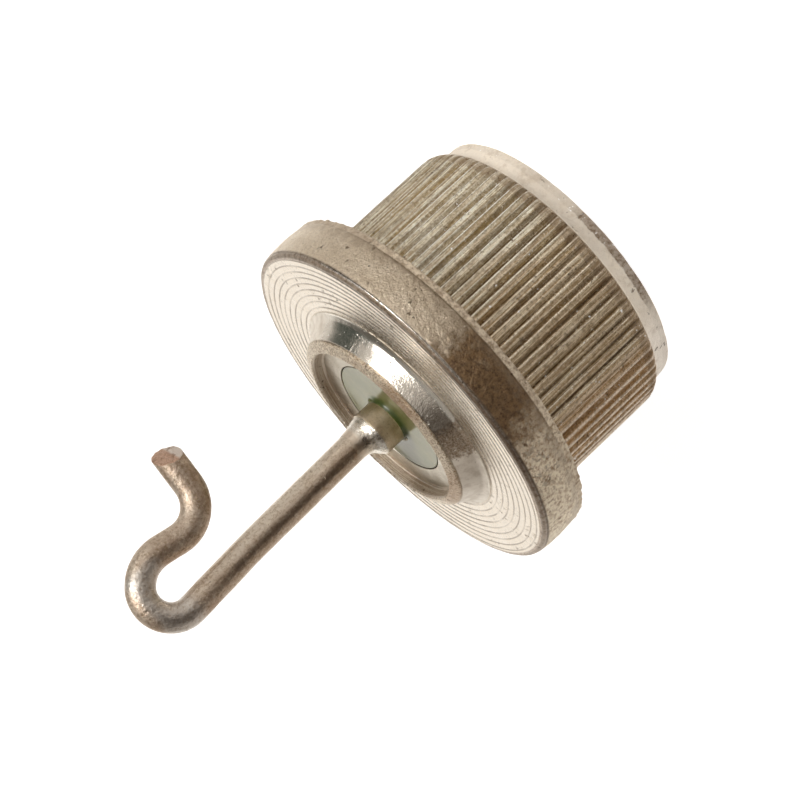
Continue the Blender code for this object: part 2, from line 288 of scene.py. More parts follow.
class Pen:
    """Draws a wire's centre line in the XZ plane; heading is from +Z towards +X, degrees."""

    def __init__(self, x, z):
        self.points = []
        self.jump(x, z, heading=0.0)

    def jump(self, x, z, heading):
        self.x, self.z, self.heading = x, z, math.radians(heading)
        self.points.append((x, z))
        return self

    def straight(self, length, step=0.06):
        count = max(1, int(round(length / step)))
        for _ in range(count):
            self.x += length / count * math.sin(self.heading)
            self.z += length / count * math.cos(self.heading)
            self.points.append((self.x, self.z))
        return self

    def bend(self, radius, sweep, step=0.06):
        sweep = math.radians(sweep)
        count = max(2, int(round(abs(sweep) * radius / step)))
        arm = math.copysign(1.0, sweep) * radius
        centre_x = self.x + arm * math.cos(self.heading)
        centre_z = self.z - arm * math.sin(self.heading)
        for i in range(1, count + 1):
            heading = self.heading + sweep * i / count
            self.points.append((centre_x - arm * math.cos(heading),
                                centre_z + arm * math.sin(heading)))
        self.x, self.z = self.points[-1]
        self.heading += sweep
        return self

    def path(self):
        return np.array([(x, 0.0, z) for x, z in self.points])


class Frames:
    """Directions along a centre line: forward, side (in XZ) and across (along Y)."""

    def __init__(self, path):
        self.path = path
        forward = np.gradient(path, axis=0)
        self.forward = forward / np.linalg.norm(forward, axis=1)[:, None]
        side = np.cross(np.array([0.0, 1.0, 0.0]), self.forward)
        self.side = side / np.linalg.norm(side, axis=1)[:, None]
        self.across = np.cross(self.forward, self.side)

    def section(self, i, side, across):
        """Points of the cross-section at station i."""
        return self.path[i] + self.side[i] * side[:, None] + self.across[i] * across[:, None]


# =============================================================================
# material tools
# =============================================================================
class Value:
    """A node's output that can be used in arithmetic."""

    def __init__(self, nodes, socket):
        self.nodes, self.socket = nodes, socket

    def __add__(self, other):
        return self.nodes.math('ADD', self, other)

    def __radd__(self, other):
        return self.nodes.math('ADD', other, self)

    def __sub__(self, other):
        return self.nodes.math('SUBTRACT', self, other)

    def __rsub__(self, other):
        return self.nodes.math('SUBTRACT', other, self)

    def __mul__(self, other):
        return self.nodes.math('MULTIPLY', self, other)

    def __truediv__(self, other):
        return self.nodes.math('DIVIDE', self, other)

    def __abs__(self):
        return self.nodes.math('ABSOLUTE', self)

    def fract(self):
        return self.nodes.math('FRACT', self)

    def floor(self):
        return self.nodes.math('FLOOR', self)

    def ramp(self, start, end, to=(0.0, 1.0), soft=True):
        """Maps start..end to the pair in to, held beyond both ends."""
        inputs = {"Value": self, "From Min": start, "From Max": end,
                  "To Min": to[0], "To Max": to[1]}
        return self.nodes.value("MapRange", inputs, clamp=True,
                                interpolation_type='SMOOTHSTEP' if soft else 'LINEAR')


def strongest(first, *rest):
    """The largest of several values."""
    for value in rest:
        first = first.nodes.math('MAXIMUM', first, value)
    return first


def band(value, low, high, soft=0.03):
    """1 between low and high, fading over soft to each side of both."""
    return (value.ramp(low - soft, low + soft)
            * value.ramp(high - soft, high + soft, to=(1.0, 0.0)))


def opaque(colour):
    return (*colour, 1.0) if isinstance(colour, tuple) else colour


class Nodes:
    """Short ways to build a node tree."""

    def __init__(self, tree):
        self.tree = tree
        tree.nodes.clear()

    def put(self, socket, value):
        if isinstance(value, Value):
            self.tree.links.new(value.socket, socket)
        else:
            socket.default_value = value

    def node(self, kind, inputs, **settings):
        node = self.tree.nodes.new("ShaderNode" + kind)
        for key, setting in settings.items():
            setattr(node, key, setting)
        for key, value in inputs.items():
            self.put(node.inputs[key], value)
        return node

    def value(self, kind, inputs, output=0, **settings):
        return Value(self, self.node(kind, inputs, **settings).outputs[output])

    def math(self, operation, a, b=0.0, c=0.0):
        return self.value("Math", {0: a, 1: b, 2: c}, operation=operation)

    def dot(self, a, b):
        return self.value("VectorMath", {0: a, 1: b}, "Value", operation='DOT_PRODUCT')

    def mix(self, share, a, b, mode='MIX'):
        """Colour a where share is 0, b where it is 1."""
        settings = {"data_type": 'RGBA', "blend_type": mode, "clamp_factor": True}
        return self.value("Mix", {0: share, 6: opaque(a), 7: opaque(b)}, 2, **settings)


class Material(Nodes):
    """A principled material whose coordinates are millimetres of the piece."""

    def __init__(self, name):
        self.material = bpy.data.materials.new(name)
        self.material.use_nodes = True
        super().__init__(self.material.node_tree)
        self.shader = self.node("BsdfPrincipled", {})
        self.node("OutputMaterial", {0: Value(self, self.shader.outputs[0])})
        place = self.value("TexCoord", {}, "Object")
        self.place = self.value("VectorMath", {0: place, "Scale": 1 / MM}, operation='SCALE')
        parts = self.node("SeparateXYZ", {0: self.place})
        self.x, self.y, self.z = (Value(self, socket) for socket in parts.outputs)
        self._radius = None
        self.colour = None

    @property
    def radius(self):
        if self._radius is None:
            self._radius = self.math('SQRT', self.x * self.x + self.y * self.y)
        return self._radius

    @property
    def turn(self):
        """Angle about the axis in turns from +X, -0.5..0.5."""
        return self.math('ARCTAN2', self.y, self.x) / TAU

    def around(self, bearing, width):
        """1 near one bearing, 0 beyond width degrees from it."""
        x, y = math.sin(math.radians(bearing)), -math.cos(math.radians(bearing))
        return ((self.x * x + self.y * y) / self.radius).ramp(
            math.cos(math.radians(width)), math.cos(math.radians(width * 0.35)))

    def facing(self, x, y, z):
        """How squarely the surface faces a fixed direction of the piece, -1..1."""
        return self.dot(self.value("TexCoord", {}, "Normal"), (x, y, z))

    def noise(self, scale, detail=2.0, rough=0.5, w=None, vector=None):
        """Noise in 0..1 with scale cells per millimetre; w picks another pattern."""
        inputs = {"Vector": vector or self.place, "Scale": scale,
                  "Detail": detail, "Roughness": rough}
        if w is None:
            return self.value("TexNoise", inputs, "Fac")
        return self.value("TexNoise", {**inputs, "W": w}, "Fac", noise_dimensions='4D')

    def streaks(self, x, y, z, detail=3.0, rough=0.6):
        """Noise over coordinates stretched to the caller's liking."""
        vector = self.value("CombineXYZ", {0: x, 1: y, 2: z})
        return self.noise(1.0, detail, rough, vector=vector)

    def paint(self, mask, colour, mode='MIX'):
        """Lays a colour over what is there, where mask is 1."""
        self.colour = self.mix(mask, self.colour, colour, mode)

    def bump(self, height, distance, normal=None):
        """A normal bent by height, whose full range is distance in millimetres."""
        inputs = {"Strength": 1.0, "Distance": distance * MM, "Height": height}
        if normal is not None:
            inputs["Normal"] = normal
        return self.value("Bump", inputs)

    def done(self, rough, normal, metallic=1.0, **more):
        inputs = {"Base_Color": self.colour, "Roughness": rough, "Metallic": metallic,
                  "Normal": normal, **more}
        for key, value in inputs.items():
            self.put(self.shader.inputs[key.replace("_", " ")], value)
        return self.material


# =============================================================================
# the cup's plate
# =============================================================================
def plated_metal():
    """Old nickel plate: sandy pitting, brown in the hollows, turned flange face,
    burnished neck. The zones are told apart by radius and height."""
    plate = Material("aged_nickel_plate")
    radius, z = plate.radius, plate.z
    around, mix, paint = plate.around, plate.mix, plate.paint

    # zones
    face = z.ramp(8.82, 8.86) * band(radius, 4.90, 7.56, soft=0.05)
    neck = z.ramp(8.895, 8.92) * band(radius, 4.19, 4.90)
    lip = z.ramp(9.52, 9.62) * radius.ramp(4.21, 4.15)
    edge = radius.ramp(7.42, 7.48) * band(z, 8.645, 8.90, soft=0.04)
    rim = radius.ramp(7.55, 7.65) * band(z, 7.06, 8.70, soft=0.04)
    burr = radius.ramp(7.40, 7.55) * band(z, 6.5, 7.06, soft=0.02)
    knurl = band(z, 1.0, 6.72, soft=0.04) * radius.ramp(6.0, 6.1) * radius.ramp(6.8, 6.7)
    shoulder = band(z, 0.92, 1.50, soft=0.06) * radius.ramp(5.9, 6.0)
    pilot = z.ramp(0.90, 0.97, to=(1.0, 0.0))

    # textures, from broad to fine
    blotch = plate.noise(0.75, detail=4.0, rough=0.62, w=4.0)
    patch = plate.noise(2.6, detail=4.0, rough=0.62, w=2.0)
    mottle = plate.noise(2.7, detail=4.0, rough=0.62, w=41.0)
    pebble = plate.noise(6.4, detail=4.0, rough=0.70, w=45.0)
    sand = plate.noise(6.5, detail=5.0, rough=0.68)
    crumb = plate.noise(13.0, detail=3.0, rough=0.75, w=59.0)
    grit = plate.noise(16.0, detail=3.0, rough=0.65, w=7.0)
    pit = (plate.noise(5.2, w=8.0).ramp(0.635, 0.70)
           * plate.noise(1.3, detail=3.0, rough=0.6, w=9.0).ramp(0.48, 0.60))
    glint = plate.noise(6.8, detail=1.0, w=31.0).ramp(0.715, 0.745) * patch.ramp(0.45, 0.55)

    def paint_face_and_neck():
        # painted light and shade: the face is painted lighter about bearing -18 and darker about
        # bearing -66
        side = mix(around(-18, 34), (0.74, 0.675, 0.60), (0.93, 0.86, 0.765))
        paint(face * mottle.ramp(0.38, 0.62, to=(0.70, 0.92)),
              mix(around(-66, 44), side, (0.70, 0.635, 0.56)))
        paint(neck * 0.88, (0.84, 0.81, 0.755))
        # the neck keeps its bright colour at the bearings where the lamp shines; elsewhere it is
        # satin and painted darker, as painted shade
        shine = strongest(around(20, 40), around(44, 34), around(-6, 24) * 0.9)
        satin_and_shade = neck * (1.0 - shine)
        paint(satin_and_shade * 0.80,
              mix(patch.ramp(0.36, 0.60), (0.62, 0.54, 0.45), (0.82, 0.75, 0.66)))
        grime = neck * (around(-31, 15) + (sand - 0.5) * 2.6).ramp(0.40, 1.00)
        paint(grime * 0.88,
              mix(grit.ramp(0.40, 0.58), (0.15, 0.09, 0.048), (0.42, 0.325, 0.235)))
        return satin_and_shade

    def paint_lip_bore_and_burr():
        paint(lip * 0.8, mix(grit.ramp(0.36, 0.60), (0.43, 0.34, 0.24), (0.86, 0.77, 0.64)))
        # painted shade: brown painted on the lip about bearings -72 and 2
        paint(lip * strongest(around(-72, 30), around(2, 18))
              * pebble.ramp(0.36, 0.60, to=(0.95, 0.45)), (0.46, 0.315, 0.205))
        paint(lip * grit.ramp(0.40, 0.50, to=(0.75, 0.0)), (0.29, 0.18, 0.10))
        bore = band(radius, 3.4, 3.75, soft=0.04) * band(z, 9.46, 9.93)
        swirl = plate.streaks(plate.turn * 9.0, z * 26.0, 11.0)
        paint(bore * 0.75, mix(swirl.ramp(0.38, 0.60), (0.44, 0.335, 0.25), (0.90, 0.84, 0.76)))
        paint(burr * 0.85, mix(pebble.ramp(0.36, 0.58), (0.34, 0.245, 0.16), (0.80, 0.69, 0.54)))
        # painted shade: the burr is painted darker about bearings 62 and -62
        paint(burr * strongest(around(62, 30), around(-62, 30)) * 0.55, (0.46, 0.375, 0.29))

    def paint_rim():
        """Mottled; brown about bearing -26 and coarse sand about -70."""
        ragged = plate.noise(1.6, detail=4.0, rough=0.65, w=43.0) - 0.5
        paint(rim * 0.45, (0.93, 0.83, 0.69))
        paint(rim * mottle.ramp(0.38, 0.58, to=(0.55, 0.0)), (0.72, 0.61, 0.475))
        # brown about bearing -26: partly rust, partly a painted dark reflection
        stain_and_shade_side = (around(-26, 40) + ragged * 1.3).ramp(0.24, 0.74)
        paint(rim * crumb.ramp(0.37, 0.47, to=(0.42, 0.0)), (0.42, 0.31, 0.20))
        paint(rim * crumb.ramp(0.55, 0.64, to=(0.0, 0.35)), (1.0, 0.93, 0.81))
        coarse = (around(-70, 52) + ragged * 1.2).ramp(0.05, 1.05)
        coarse = coarse * strongest(rim, burr * 0.6)
        rust_and_dark_reflection = rim * stain_and_shade_side * (1.0 - coarse * 0.8)
        paint(rust_and_dark_reflection * 0.90,
              mix(sand.ramp(0.34, 0.60), (0.105, 0.050, 0.017), (0.30, 0.180, 0.082)))
        paint(rim * grit.ramp(0.36, 0.50, to=(0.34, 0.0)), (0.40, 0.30, 0.20))
        paint(coarse * 0.9,
              mix(pebble.ramp(0.36, 0.57), (0.46, 0.31, 0.185), (1.0, 0.90, 0.72)))
        scabs = plate.noise(3.4, detail=4.0, rough=0.7, w=63.0).ramp(0.51, 0.60)
        paint(rim * around(-36, 20) * scabs * 0.50, (0.14, 0.080, 0.040))
        # grey-brown stain and dark chips next to the burr
        stain = (rim * (z + ragged * 1.3).ramp(7.62, 7.22)
                 * patch.ramp(0.36, 0.56, to=(0.35, 0.9)))
        paint(stain * 0.60, (0.47, 0.38, 0.285))
        chips = (band(z, 6.84, 7.16, soft=0.06) * radius.ramp(7.45, 7.6)
                 * plate.noise(3.4, detail=4.0, rough=0.7, w=53.0).ramp(0.50, 0.60))
        paint(chips * 0.45, (0.36, 0.26, 0.175))
        return coarse

    def paint_edge():
        """The roll-off above the rim is painted dark brown as a dark reflection, with painted
        shade at the sides; its corner, smoothed by rubbing, has a painted white highlight.
        """
        dark_reflection_band = edge * (z + (sand - 0.5) * 0.10).ramp(8.755, 8.80)
        side_shade = edge * strongest(around(-55, 62), around(62, 34))
        paint(strongest(dark_reflection_band, side_shade) * 0.94,
              mix(sand.ramp(0.36, 0.60), (0.17, 0.115, 0.08), (0.42, 0.335, 0.26)))
        # painted shade about bearing -22
        paint(edge * around(-22, 34) * 0.65, (0.14, 0.092, 0.062))
        # painted white highlight where the lamp reflects, about bearing 22, where the corner is
        # also smoother
        rubbed_and_highlight = edge * band(z, 8.70, 8.775, soft=0.02) * strongest(around(22, 34), 0.12)
        paint(rubbed_and_highlight * sand.ramp(0.40, 0.56, to=(0.25, 1.0)), (0.92, 0.90, 0.88))
        paint(edge * crumb.ramp(0.38, 0.50, to=(0.75, 0.0)), (0.30, 0.235, 0.18))
        return rubbed_and_highlight

    def paint_knurl():
        """A sharp bright lip beside an oily groove, then a mottled land, in each pitch; the
        lips' white and the grooves' black are partly painted highlight and shade.
        """
        wobble = (plate.noise(1.1, w=21.0) - 0.5) * 0.05

        def pitches():
            return plate.turn * float(TEETH) + (wobble + (TEETH - TOOTH_SHIFT))
        phase = pitches().fract()
        tooth = pitches().floor()
        own = plate.streaks(tooth * 3.7, z * 0.22, 9.0, detail=2.0)
        other = plate.streaks(tooth * 5.3, z * 0.30, 21.0, detail=2.0)
        # parts of the pitch
        lip_line = phase.ramp(0.385, 0.425) * phase.ramp(0.53, 0.49)
        second = strongest(phase.ramp(0.05, 0.02), phase.ramp(0.93, 0.97))
        groove = phase.ramp(0.52, 0.56) * phase.ramp(0.97, 0.90)
        deep_grime_and_shade = phase.ramp(0.53, 0.56) * phase.ramp(0.70, 0.65)
        land = phase.ramp(0.05, 0.12) * phase.ramp(0.40, 0.34)
        # streaks along the teeth
        drawn = plate.streaks(plate.turn * 430.0, z * 0.18, 3.0, rough=0.68)
        broad = plate.streaks(plate.turn * 60.0, z * 0.35, 7.0)
        # the browned -X side, where the teeth are plain
        stray = (plate.noise(0.9, detail=3.0, rough=0.6, w=57.0) - 0.5) * 0.9
        cast = (plate.x * -1.0 / radius).ramp(math.cos(math.radians(50)),
                                              math.cos(math.radians(38)))
        cast = cast * (plate.y / radius + stray).ramp(0.62, 0.05)

        paint(knurl * 0.92, mix(drawn.ramp(0.43, 0.54), (0.44, 0.34, 0.21), (1.0, 0.94, 0.80)))
        paint(knurl * land * broad.ramp(0.42, 0.58, to=(0.65, 0.0)), (0.46, 0.345, 0.225))
        paint(knurl * groove * drawn.ramp(0.35, 0.65, to=(0.98, 0.55)),
              mix(broad.ramp(0.40, 0.60), (0.44, 0.315, 0.155), (0.38, 0.315, 0.235)))
        # groove bottoms painted near-black: oily grime and painted shade
        paint(knurl * deep_grime_and_shade * (0.80 - cast * 0.5) * own.ramp(0.34, 0.60, to=(0.60, 1.20)),
              (0.105, 0.066, 0.026))
        paint(knurl * other.ramp(0.52, 0.66, to=(0.0, 0.55)) * (1.0 - lip_line),
              (0.40, 0.30, 0.165))
        # plain teeth: 0 on the crest; the crests are painted near-white as painted highlight,
        # the lands between them dark brown, partly tarnish and partly painted shade
        off = abs((phase + (TOOTH_SHIFT - PLAIN_SHIFT + 1.5)).fract() - 0.5)
        dark_land = mix(drawn.ramp(0.38, 0.60), (0.32, 0.18, 0.07), (0.60, 0.42, 0.26))
        crest = off.ramp(0.20, 0.10) * drawn.ramp(0.32, 0.46, to=(0.55, 1.0))
        paint(knurl * cast * 0.92, mix(crest, dark_land, (1.0, 0.95, 0.91)))
        # bright lines of the lipped teeth: worn crests, painted near-white as painted highlights
        paint(knurl * second * (1.0 - cast) * drawn.ramp(0.44, 0.58, to=(0.0, 0.60)),
              (0.95, 0.89, 0.82))
        paint(knurl * lip_line * (1.0 - cast) * other.ramp(0.34, 0.50, to=(0.35, 1.0)),
              (1.0, 0.965, 0.89))
        # painted highlight on the groove's far wall about bearing -8
        wall = (phase.ramp(0.77, 0.82) * phase.ramp(0.90, 0.86) * around(-8, 36)
                * drawn.ramp(0.40, 0.56))
        paint(knurl * wall * 0.60, (0.90, 0.83, 0.70))
        # dark and bright specks
        fine = plate.noise(9.5, detail=3.0, rough=0.70, w=15.0)
        paint(knurl * fine.ramp(0.38, 0.50, to=(0.54, 0.0)), (0.26, 0.19, 0.115))
        paint(knurl * crumb.ramp(0.36, 0.46, to=(0.48, 0.0)), (0.24, 0.165, 0.09))
        paint(knurl * fine.ramp(0.57, 0.66, to=(0.0, 0.55)), (1.0, 0.94, 0.83))
        paint(knurl * crumb.ramp(0.56, 0.64, to=(0.0, 0.45)), (1.0, 0.96, 0.88))
        # painted light: cooler and brighter about bearing 52, towards the lamp, warmer elsewhere
        cool_lamp_light = around(52, 58)
        paint(knurl * (0.9 - cool_lamp_light * 0.65), (1.07, 0.985, 0.865), 'MULTIPLY')
        paint(knurl * cool_lamp_light, (1.09, 1.13, 1.15), 'MULTIPLY')
        ends = knurl * z.ramp(6.15, 6.60) * around(-6, 34) * patch.ramp(0.42, 0.58)
        paint(ends * 0.8, (0.42, 0.215, 0.09))
        spots = plate.noise(3.2, detail=4.0, rough=0.65, w=13.0)
        paint(knurl * (1.0 - lip_line) * spots.ramp(0.55, 0.68, to=(0.0, 0.55)),
              (0.27, 0.195, 0.125))
        return lip_line, land, drawn, broad, fine

    def paint_shoulder_and_pilot():
        # painted shade: brown on the rounded shoulder, broken up by sand
        paint(shoulder * sand.ramp(0.35, 0.6, to=(0.85, 0.40)), (0.40, 0.30, 0.205))
        # painted shade about bearing 14, painted light about bearing -66
        paint(pilot * around(14, 30) * 0.45, (0.50, 0.44, 0.37))
        paint(pilot * around(-66, 30) * 0.9, (0.98, 0.90, 0.80))
        spots = plate.noise(1.9, detail=4.0, rough=0.65, w=51.0)
        paint(pilot * spots.ramp(0.52, 0.66, to=(0.0, 0.45)), (0.50, 0.40, 0.30))
        # worn chamfer at the pilot's lower edge, painted dark as painted shade, most about
        # bearing -14
        worn = pilot * (z + patch * 0.25).ramp(0.56, 0.49)
        paint(worn * strongest(around(-14, 30), 0.16) * sand.ramp(0.34, 0.60, to=(1.0, 0.62)),
              (0.165, 0.105, 0.06))
        return worn

    # base coat, then zone by zone
    plate.colour = mix(blotch.ramp(0.36, 0.66), (0.78, 0.665, 0.51), (0.90, 0.80, 0.655))
    paint(sand.ramp(0.36, 0.53, to=(0.62, 0.0)), (0.40, 0.295, 0.195))
    satin_and_shade = paint_face_and_neck()
    paint_lip_bore_and_burr()
    paint(pilot * patch.ramp(0.35, 0.6, to=(0.60, 0.88)), (0.80, 0.725, 0.625))
    coarse = paint_rim()
    rubbed_and_highlight = paint_edge()
    lip_line, land, drawn, broad, fine = paint_knurl()
    worn = paint_shoulder_and_pilot()
    # dark pits, one patch of painted white sparkle on the pilot, painted white glints
    paint(pit * (0.80 - neck * 0.5), (0.17, 0.115, 0.07))
    painted_sparkle = (pilot * around(8, 18) * band(z, 0.10, 0.42, soft=0.04)
             * plate.noise(5.6, w=61.0).ramp(0.60, 0.66))
    paint(painted_sparkle * 0.9, (1.0, 1.0, 1.0))
    paint(glint * 0.9 * strongest(knurl, strongest(worn, burr * 0.6)), (1.0, 1.0, 1.0))

    # the tool's spiral on the face, crisper than the mesh can carry it; its grooves are painted
    # darker as painted shade
    def spiral():
        return (radius - SPIRAL_START) / FACE_PITCH + (plate.turn + 1.0)
    vee = abs(spiral().fract() - 0.5).ramp(0.02, 0.16, soft=False)
    press = plate.streaks(spiral().floor() * 3.7, plate.turn * 17.0, 5.0)
    paint(face * vee.ramp(1.0, 0.25) * press.ramp(0.36, 0.60, to=(0.30, 1.0)),
          (0.36, 0.305, 0.25))

    # roughness: each zone's share; dull is how far the surface is from bare metal
    rough = sand.ramp(0.3, 0.7, to=(0.28, 0.42), soft=False)
    rough = rough + (satin_and_shade * 0.14 - neck * 0.20)
    rough = rough - face * 0.10 - rubbed_and_highlight * 0.20 - knurl * 0.06 - knurl * lip_line * 0.10
    rough = strongest(rough + pit * 0.2, 0.08)
    dull_knurl = knurl * (0.10 + strongest(lip_line, land * 0.5) * around(34, 58) * 0.45)
    dull = strongest(
        strongest(pilot * 0.88, glint * 0.8),
        strongest(burr * 0.30, strongest(satin_and_shade * 0.35, dull_knurl, coarse * 0.35)))
    rough = rough + dull * 0.25

    # relief: all of it as one height in millimetres; each term ends in its depth
    quiet = 1.0 - strongest(strongest(neck * 0.95, rubbed_and_highlight * 0.85),
                            strongest(face * 0.93, knurl * 0.72))
    chatter = neck * strongest(around(-8, 26), around(46, 10) * 0.8)
    marks = plate.streaks(radius * 26.0, plate.turn * 5.0, 0.0, detail=2.0)
    height = (sand * quiet * 0.055
              + mottle * rim * 0.10
              + pebble * coarse * 0.20
              + grit * quiet * 0.016
              + pebble * lip * 0.07
              + crumb * rim * 0.018
              + vee * face * 0.011
              + plate.noise(9.0, detail=3.0, rough=0.65, w=16.0) * chatter * 0.018
              + grit * neck * 0.0018
              + marks * face * 0.0045
              + drawn * knurl * 0.036
              + broad * knurl * 0.012
              + fine * knurl * 0.026
              + crumb * knurl * 0.012
              + pebble * knurl * (1.0 - lip_line) * 0.045
              + pit * -1.0 * 0.030)
    # the turned face smears reflections across its rings
    return plate.done(rough, plate.bump(height, distance=1.0), metallic=1.0 - dull,
                      Tangent=plate.value("Tangent", {}, direction_type='RADIAL', axis='Z'),
                      Anisotropic=strongest(face, neck * 0.5) * 0.4)


# =============================================================================
# the other materials
# =============================================================================
def simple_metal(name, dark, light, *, rough, grain_scale, relief, blotch_scale, spots,
                 brush=None):
    """Metal with two-tone tarnish, dark spots, fine grain and an optional drawn grain."""
    metal = Material(name)
    grain = metal.noise(grain_scale, detail=4.0, rough=0.6)
    blotch = metal.noise(blotch_scale, detail=4.0, rough=0.6, w=5.0)
    metal.colour = metal.mix(blotch.ramp(0.34, 0.66), dark, light)
    metal.paint(grain.ramp(0.34, 0.5, to=(spots, 0.0)), tuple(0.45 * part for part in dark))
    normal = metal.bump(grain, relief)
    if brush is not None:
        streak = metal.streaks(*brush(metal))
        normal = metal.bump(streak, relief * 0.6, normal)
        metal.paint(streak.ramp(0.3, 0.7, to=(0.0, 0.18)), tuple(0.6 * part for part in dark))
    return metal.done(grain.ramp(0.3, 0.7, to=rough, soft=False), normal)


def rings_about(metal):
    """Brush coordinates for marks that run round a flat face."""
    return metal.radius * 22.0, metal.turn * 4.0, metal.z * 3.0


def bands_up(metal):
    """Brush coordinates for marks that run round a cylinder, banded along its height."""
    return metal.turn * 3.0, 0.0, metal.z * 24.0


def seal_glass():
    """Cloudy pale green sealing glass, darker where it creeps up the tube: thicker glass, and
    painted shade at the tube's foot.
    """
    glass = Material("sealing_glass")
    cloud = glass.noise(1.3, detail=3.0, rough=0.55)
    glass.colour = glass.mix(cloud.ramp(0.3, 0.7), (0.165, 0.165, 0.062), (0.225, 0.215, 0.10))
    # darker green near the tube: thicker glass, and painted shade where glass meets tube
    creep = glass.radius.ramp(TUBE_RADIUS + 0.03, TUBE_RADIUS + 0.30, to=(1.0, 0.0))
    glass.paint(creep * 0.92, (0.045, 0.075, 0.012))
    edge = glass.radius.ramp(GLASS_RADIUS - 0.07, GLASS_RADIUS - 0.02)
    glass.paint(edge * 0.65, (0.07, 0.06, 0.04))
    cells = glass.value("TexVoronoi", {"Vector": glass.place, "Scale": 3.4, "Randomness": 1.0},
                        "Distance", feature='F1')
    glass.paint(cells.ramp(0.03, 0.09, to=(1.0, 0.0)) * 0.35, (0.16, 0.17, 0.11))
    normal = glass.bump(glass.noise(2.2), 0.008)
    return glass.done(cloud.ramp(0.3, 0.7, to=(0.10, 0.18), soft=False) if False else
                      cloud.ramp(0.3, 0.7, to=(0.10, 0.18)), normal, metallic=0.0,
                      IOR=1.52, Subsurface_Weight=0.25, Subsurface_Scale=0.0005,
                      Subsurface_Radius=(0.7, 1.0, 0.5))


def solder_metal():
    """Bright solder, duller where it thins out on the wire."""
    solder = Material("bright_solder")
    grain = solder.noise(9.0, detail=3.0, rough=0.6)
    flow = solder.noise(1.9, detail=3.0, rough=0.55, w=3.0)
    solder.colour = solder.mix(flow.ramp(0.35, 0.62), (0.66, 0.59, 0.49), (0.93, 0.90, 0.84))
    solder.paint(grain.ramp(0.28, 0.42, to=(0.35, 0.0)), (0.30, 0.24, 0.17))
    thin = (solder.z + (flow - 0.5) * 0.5).ramp(TUBE_TOP + 0.42, TUBE_TOP + 0.72)
    solder.paint(thin * 0.75, (0.76, 0.645, 0.525))
    normal = solder.bump(flow, 0.035)
    normal = solder.bump(solder.noise(5.0, detail=3.0, rough=0.65, w=7.0), 0.030, normal)
    normal = solder.bump(grain, 0.012, normal)
    return solder.done(grain.ramp(0.3, 0.7, to=(0.22, 0.32), soft=False) + thin * 0.10, normal)


def tinned_wire():
    """Dull tin over copper, with drawn streaks, brown patches and bends polished by rubbing;
    painted light on the +X side, a painted dark reflection on the -Y side.
    """
    wire = Material("tinned_copper_wire")
    x, y, z, paint = wire.x, wire.y, wire.z, wire.paint
    sand = wire.noise(8.0, detail=3.0, rough=0.62)
    blotch = wire.noise(1.3, detail=4.0, rough=0.6, w=1.0)
    streak = wire.streaks(x * 8.0, y * 8.0, z * 1.0)
    # more copper shows on the bent part
    hook = strongest(z.ramp(17.8, 19.6), x.ramp(0.85, 1.3))
    wire.colour = wire.mix(blotch.ramp(0.36, 0.66), (0.72, 0.585, 0.465), (0.84, 0.745, 0.635))
    paint(hook * blotch.ramp(0.62, 0.40, to=(0.30, 0.75)), (0.56, 0.43, 0.335))
    paint(streak.ramp(0.42, 0.64, to=(0.0, 0.26)), (0.52, 0.375, 0.28))
    paint(sand.ramp(0.35, 0.48, to=(0.20, 0.0)), (0.34, 0.225, 0.16))
    pit = wire.noise(6.0, w=6.0).ramp(0.67, 0.73) * wire.noise(1.7, w=6.0).ramp(0.48, 0.58)
    paint(pit * 0.6, (0.14, 0.09, 0.055))
    # darker and browner on the side that faces -X
    lee = wire.facing(-0.94, -0.34, 0.0).ramp(0.25, 0.85) * (1.0 - hook)
    paint(lee * 0.62, (0.45, 0.34, 0.25))
    fine = wire.noise(9.5, detail=3.0, rough=0.70, w=15.0)
    paint(fine.ramp(0.38, 0.52, to=(0.50, 0.0)), (0.34, 0.245, 0.17))
    paint(fine.ramp(0.56, 0.66, to=(0.0, 0.35)), (0.93, 0.87, 0.78))
    # painted dark reflection: browner on the side that faces -Y, towards the camera
    front = wire.facing(0.10, -0.99, 0.0).ramp(0.78, 0.97) * (1.0 - hook * 0.4)
    paint(front * 0.42, (0.40, 0.29, 0.215))
    # painted light: lighter and greyer on the side that faces +X, towards the lamp
    lamp_side_light = wire.facing(0.80, -0.60, 0.0).ramp(0.55, 0.92) * (0.45 - hook * 0.22)
    paint(lamp_side_light, (0.90, 0.86, 0.77))
    paint(fine.ramp(0.40, 0.50, to=(0.38, 0.0)), (0.42, 0.31, 0.20))
    paint(sand.ramp(0.56, 0.66, to=(0.0, 0.35)), (0.95, 0.88, 0.74))
    # grey on the top of the hook: polished by rubbing, and a painted highlight
    rubbed_and_highlight = z.ramp(19.7, 20.4) * (z.ramp(21.8, 21.4) * x.ramp(2.45, 2.05))
    rubbed_and_highlight = rubbed_and_highlight * fine.ramp(0.34, 0.50, to=(0.5, 1.0))
    paint(rubbed_and_highlight * 0.65, (0.80, 0.79, 0.77))
    # solder has run a little way up from the tube
    run = (z + (blotch - 0.5) * 1.2).ramp(TUBE_TOP + 1.15, TUBE_TOP + 0.75)
    paint(run * 0.7, (0.86, 0.79, 0.68))
    # relief, with creases on the hook
    crease = wire.streaks(x * 3.4, y * 1.5, z * 3.4)
    normal = None
    for height, depth in ((sand, 0.016), (fine, 0.013), (streak, 0.012),
                          (crease * hook, 0.042), (pit * -1.0, 0.015)):
        normal = wire.bump(height, depth, normal)
    rough = sand.ramp(0.3, 0.7, to=(0.28, 0.38), soft=False) + (hook - rubbed_and_highlight * 0.6) * 0.17
    return wire.done(rough, normal)


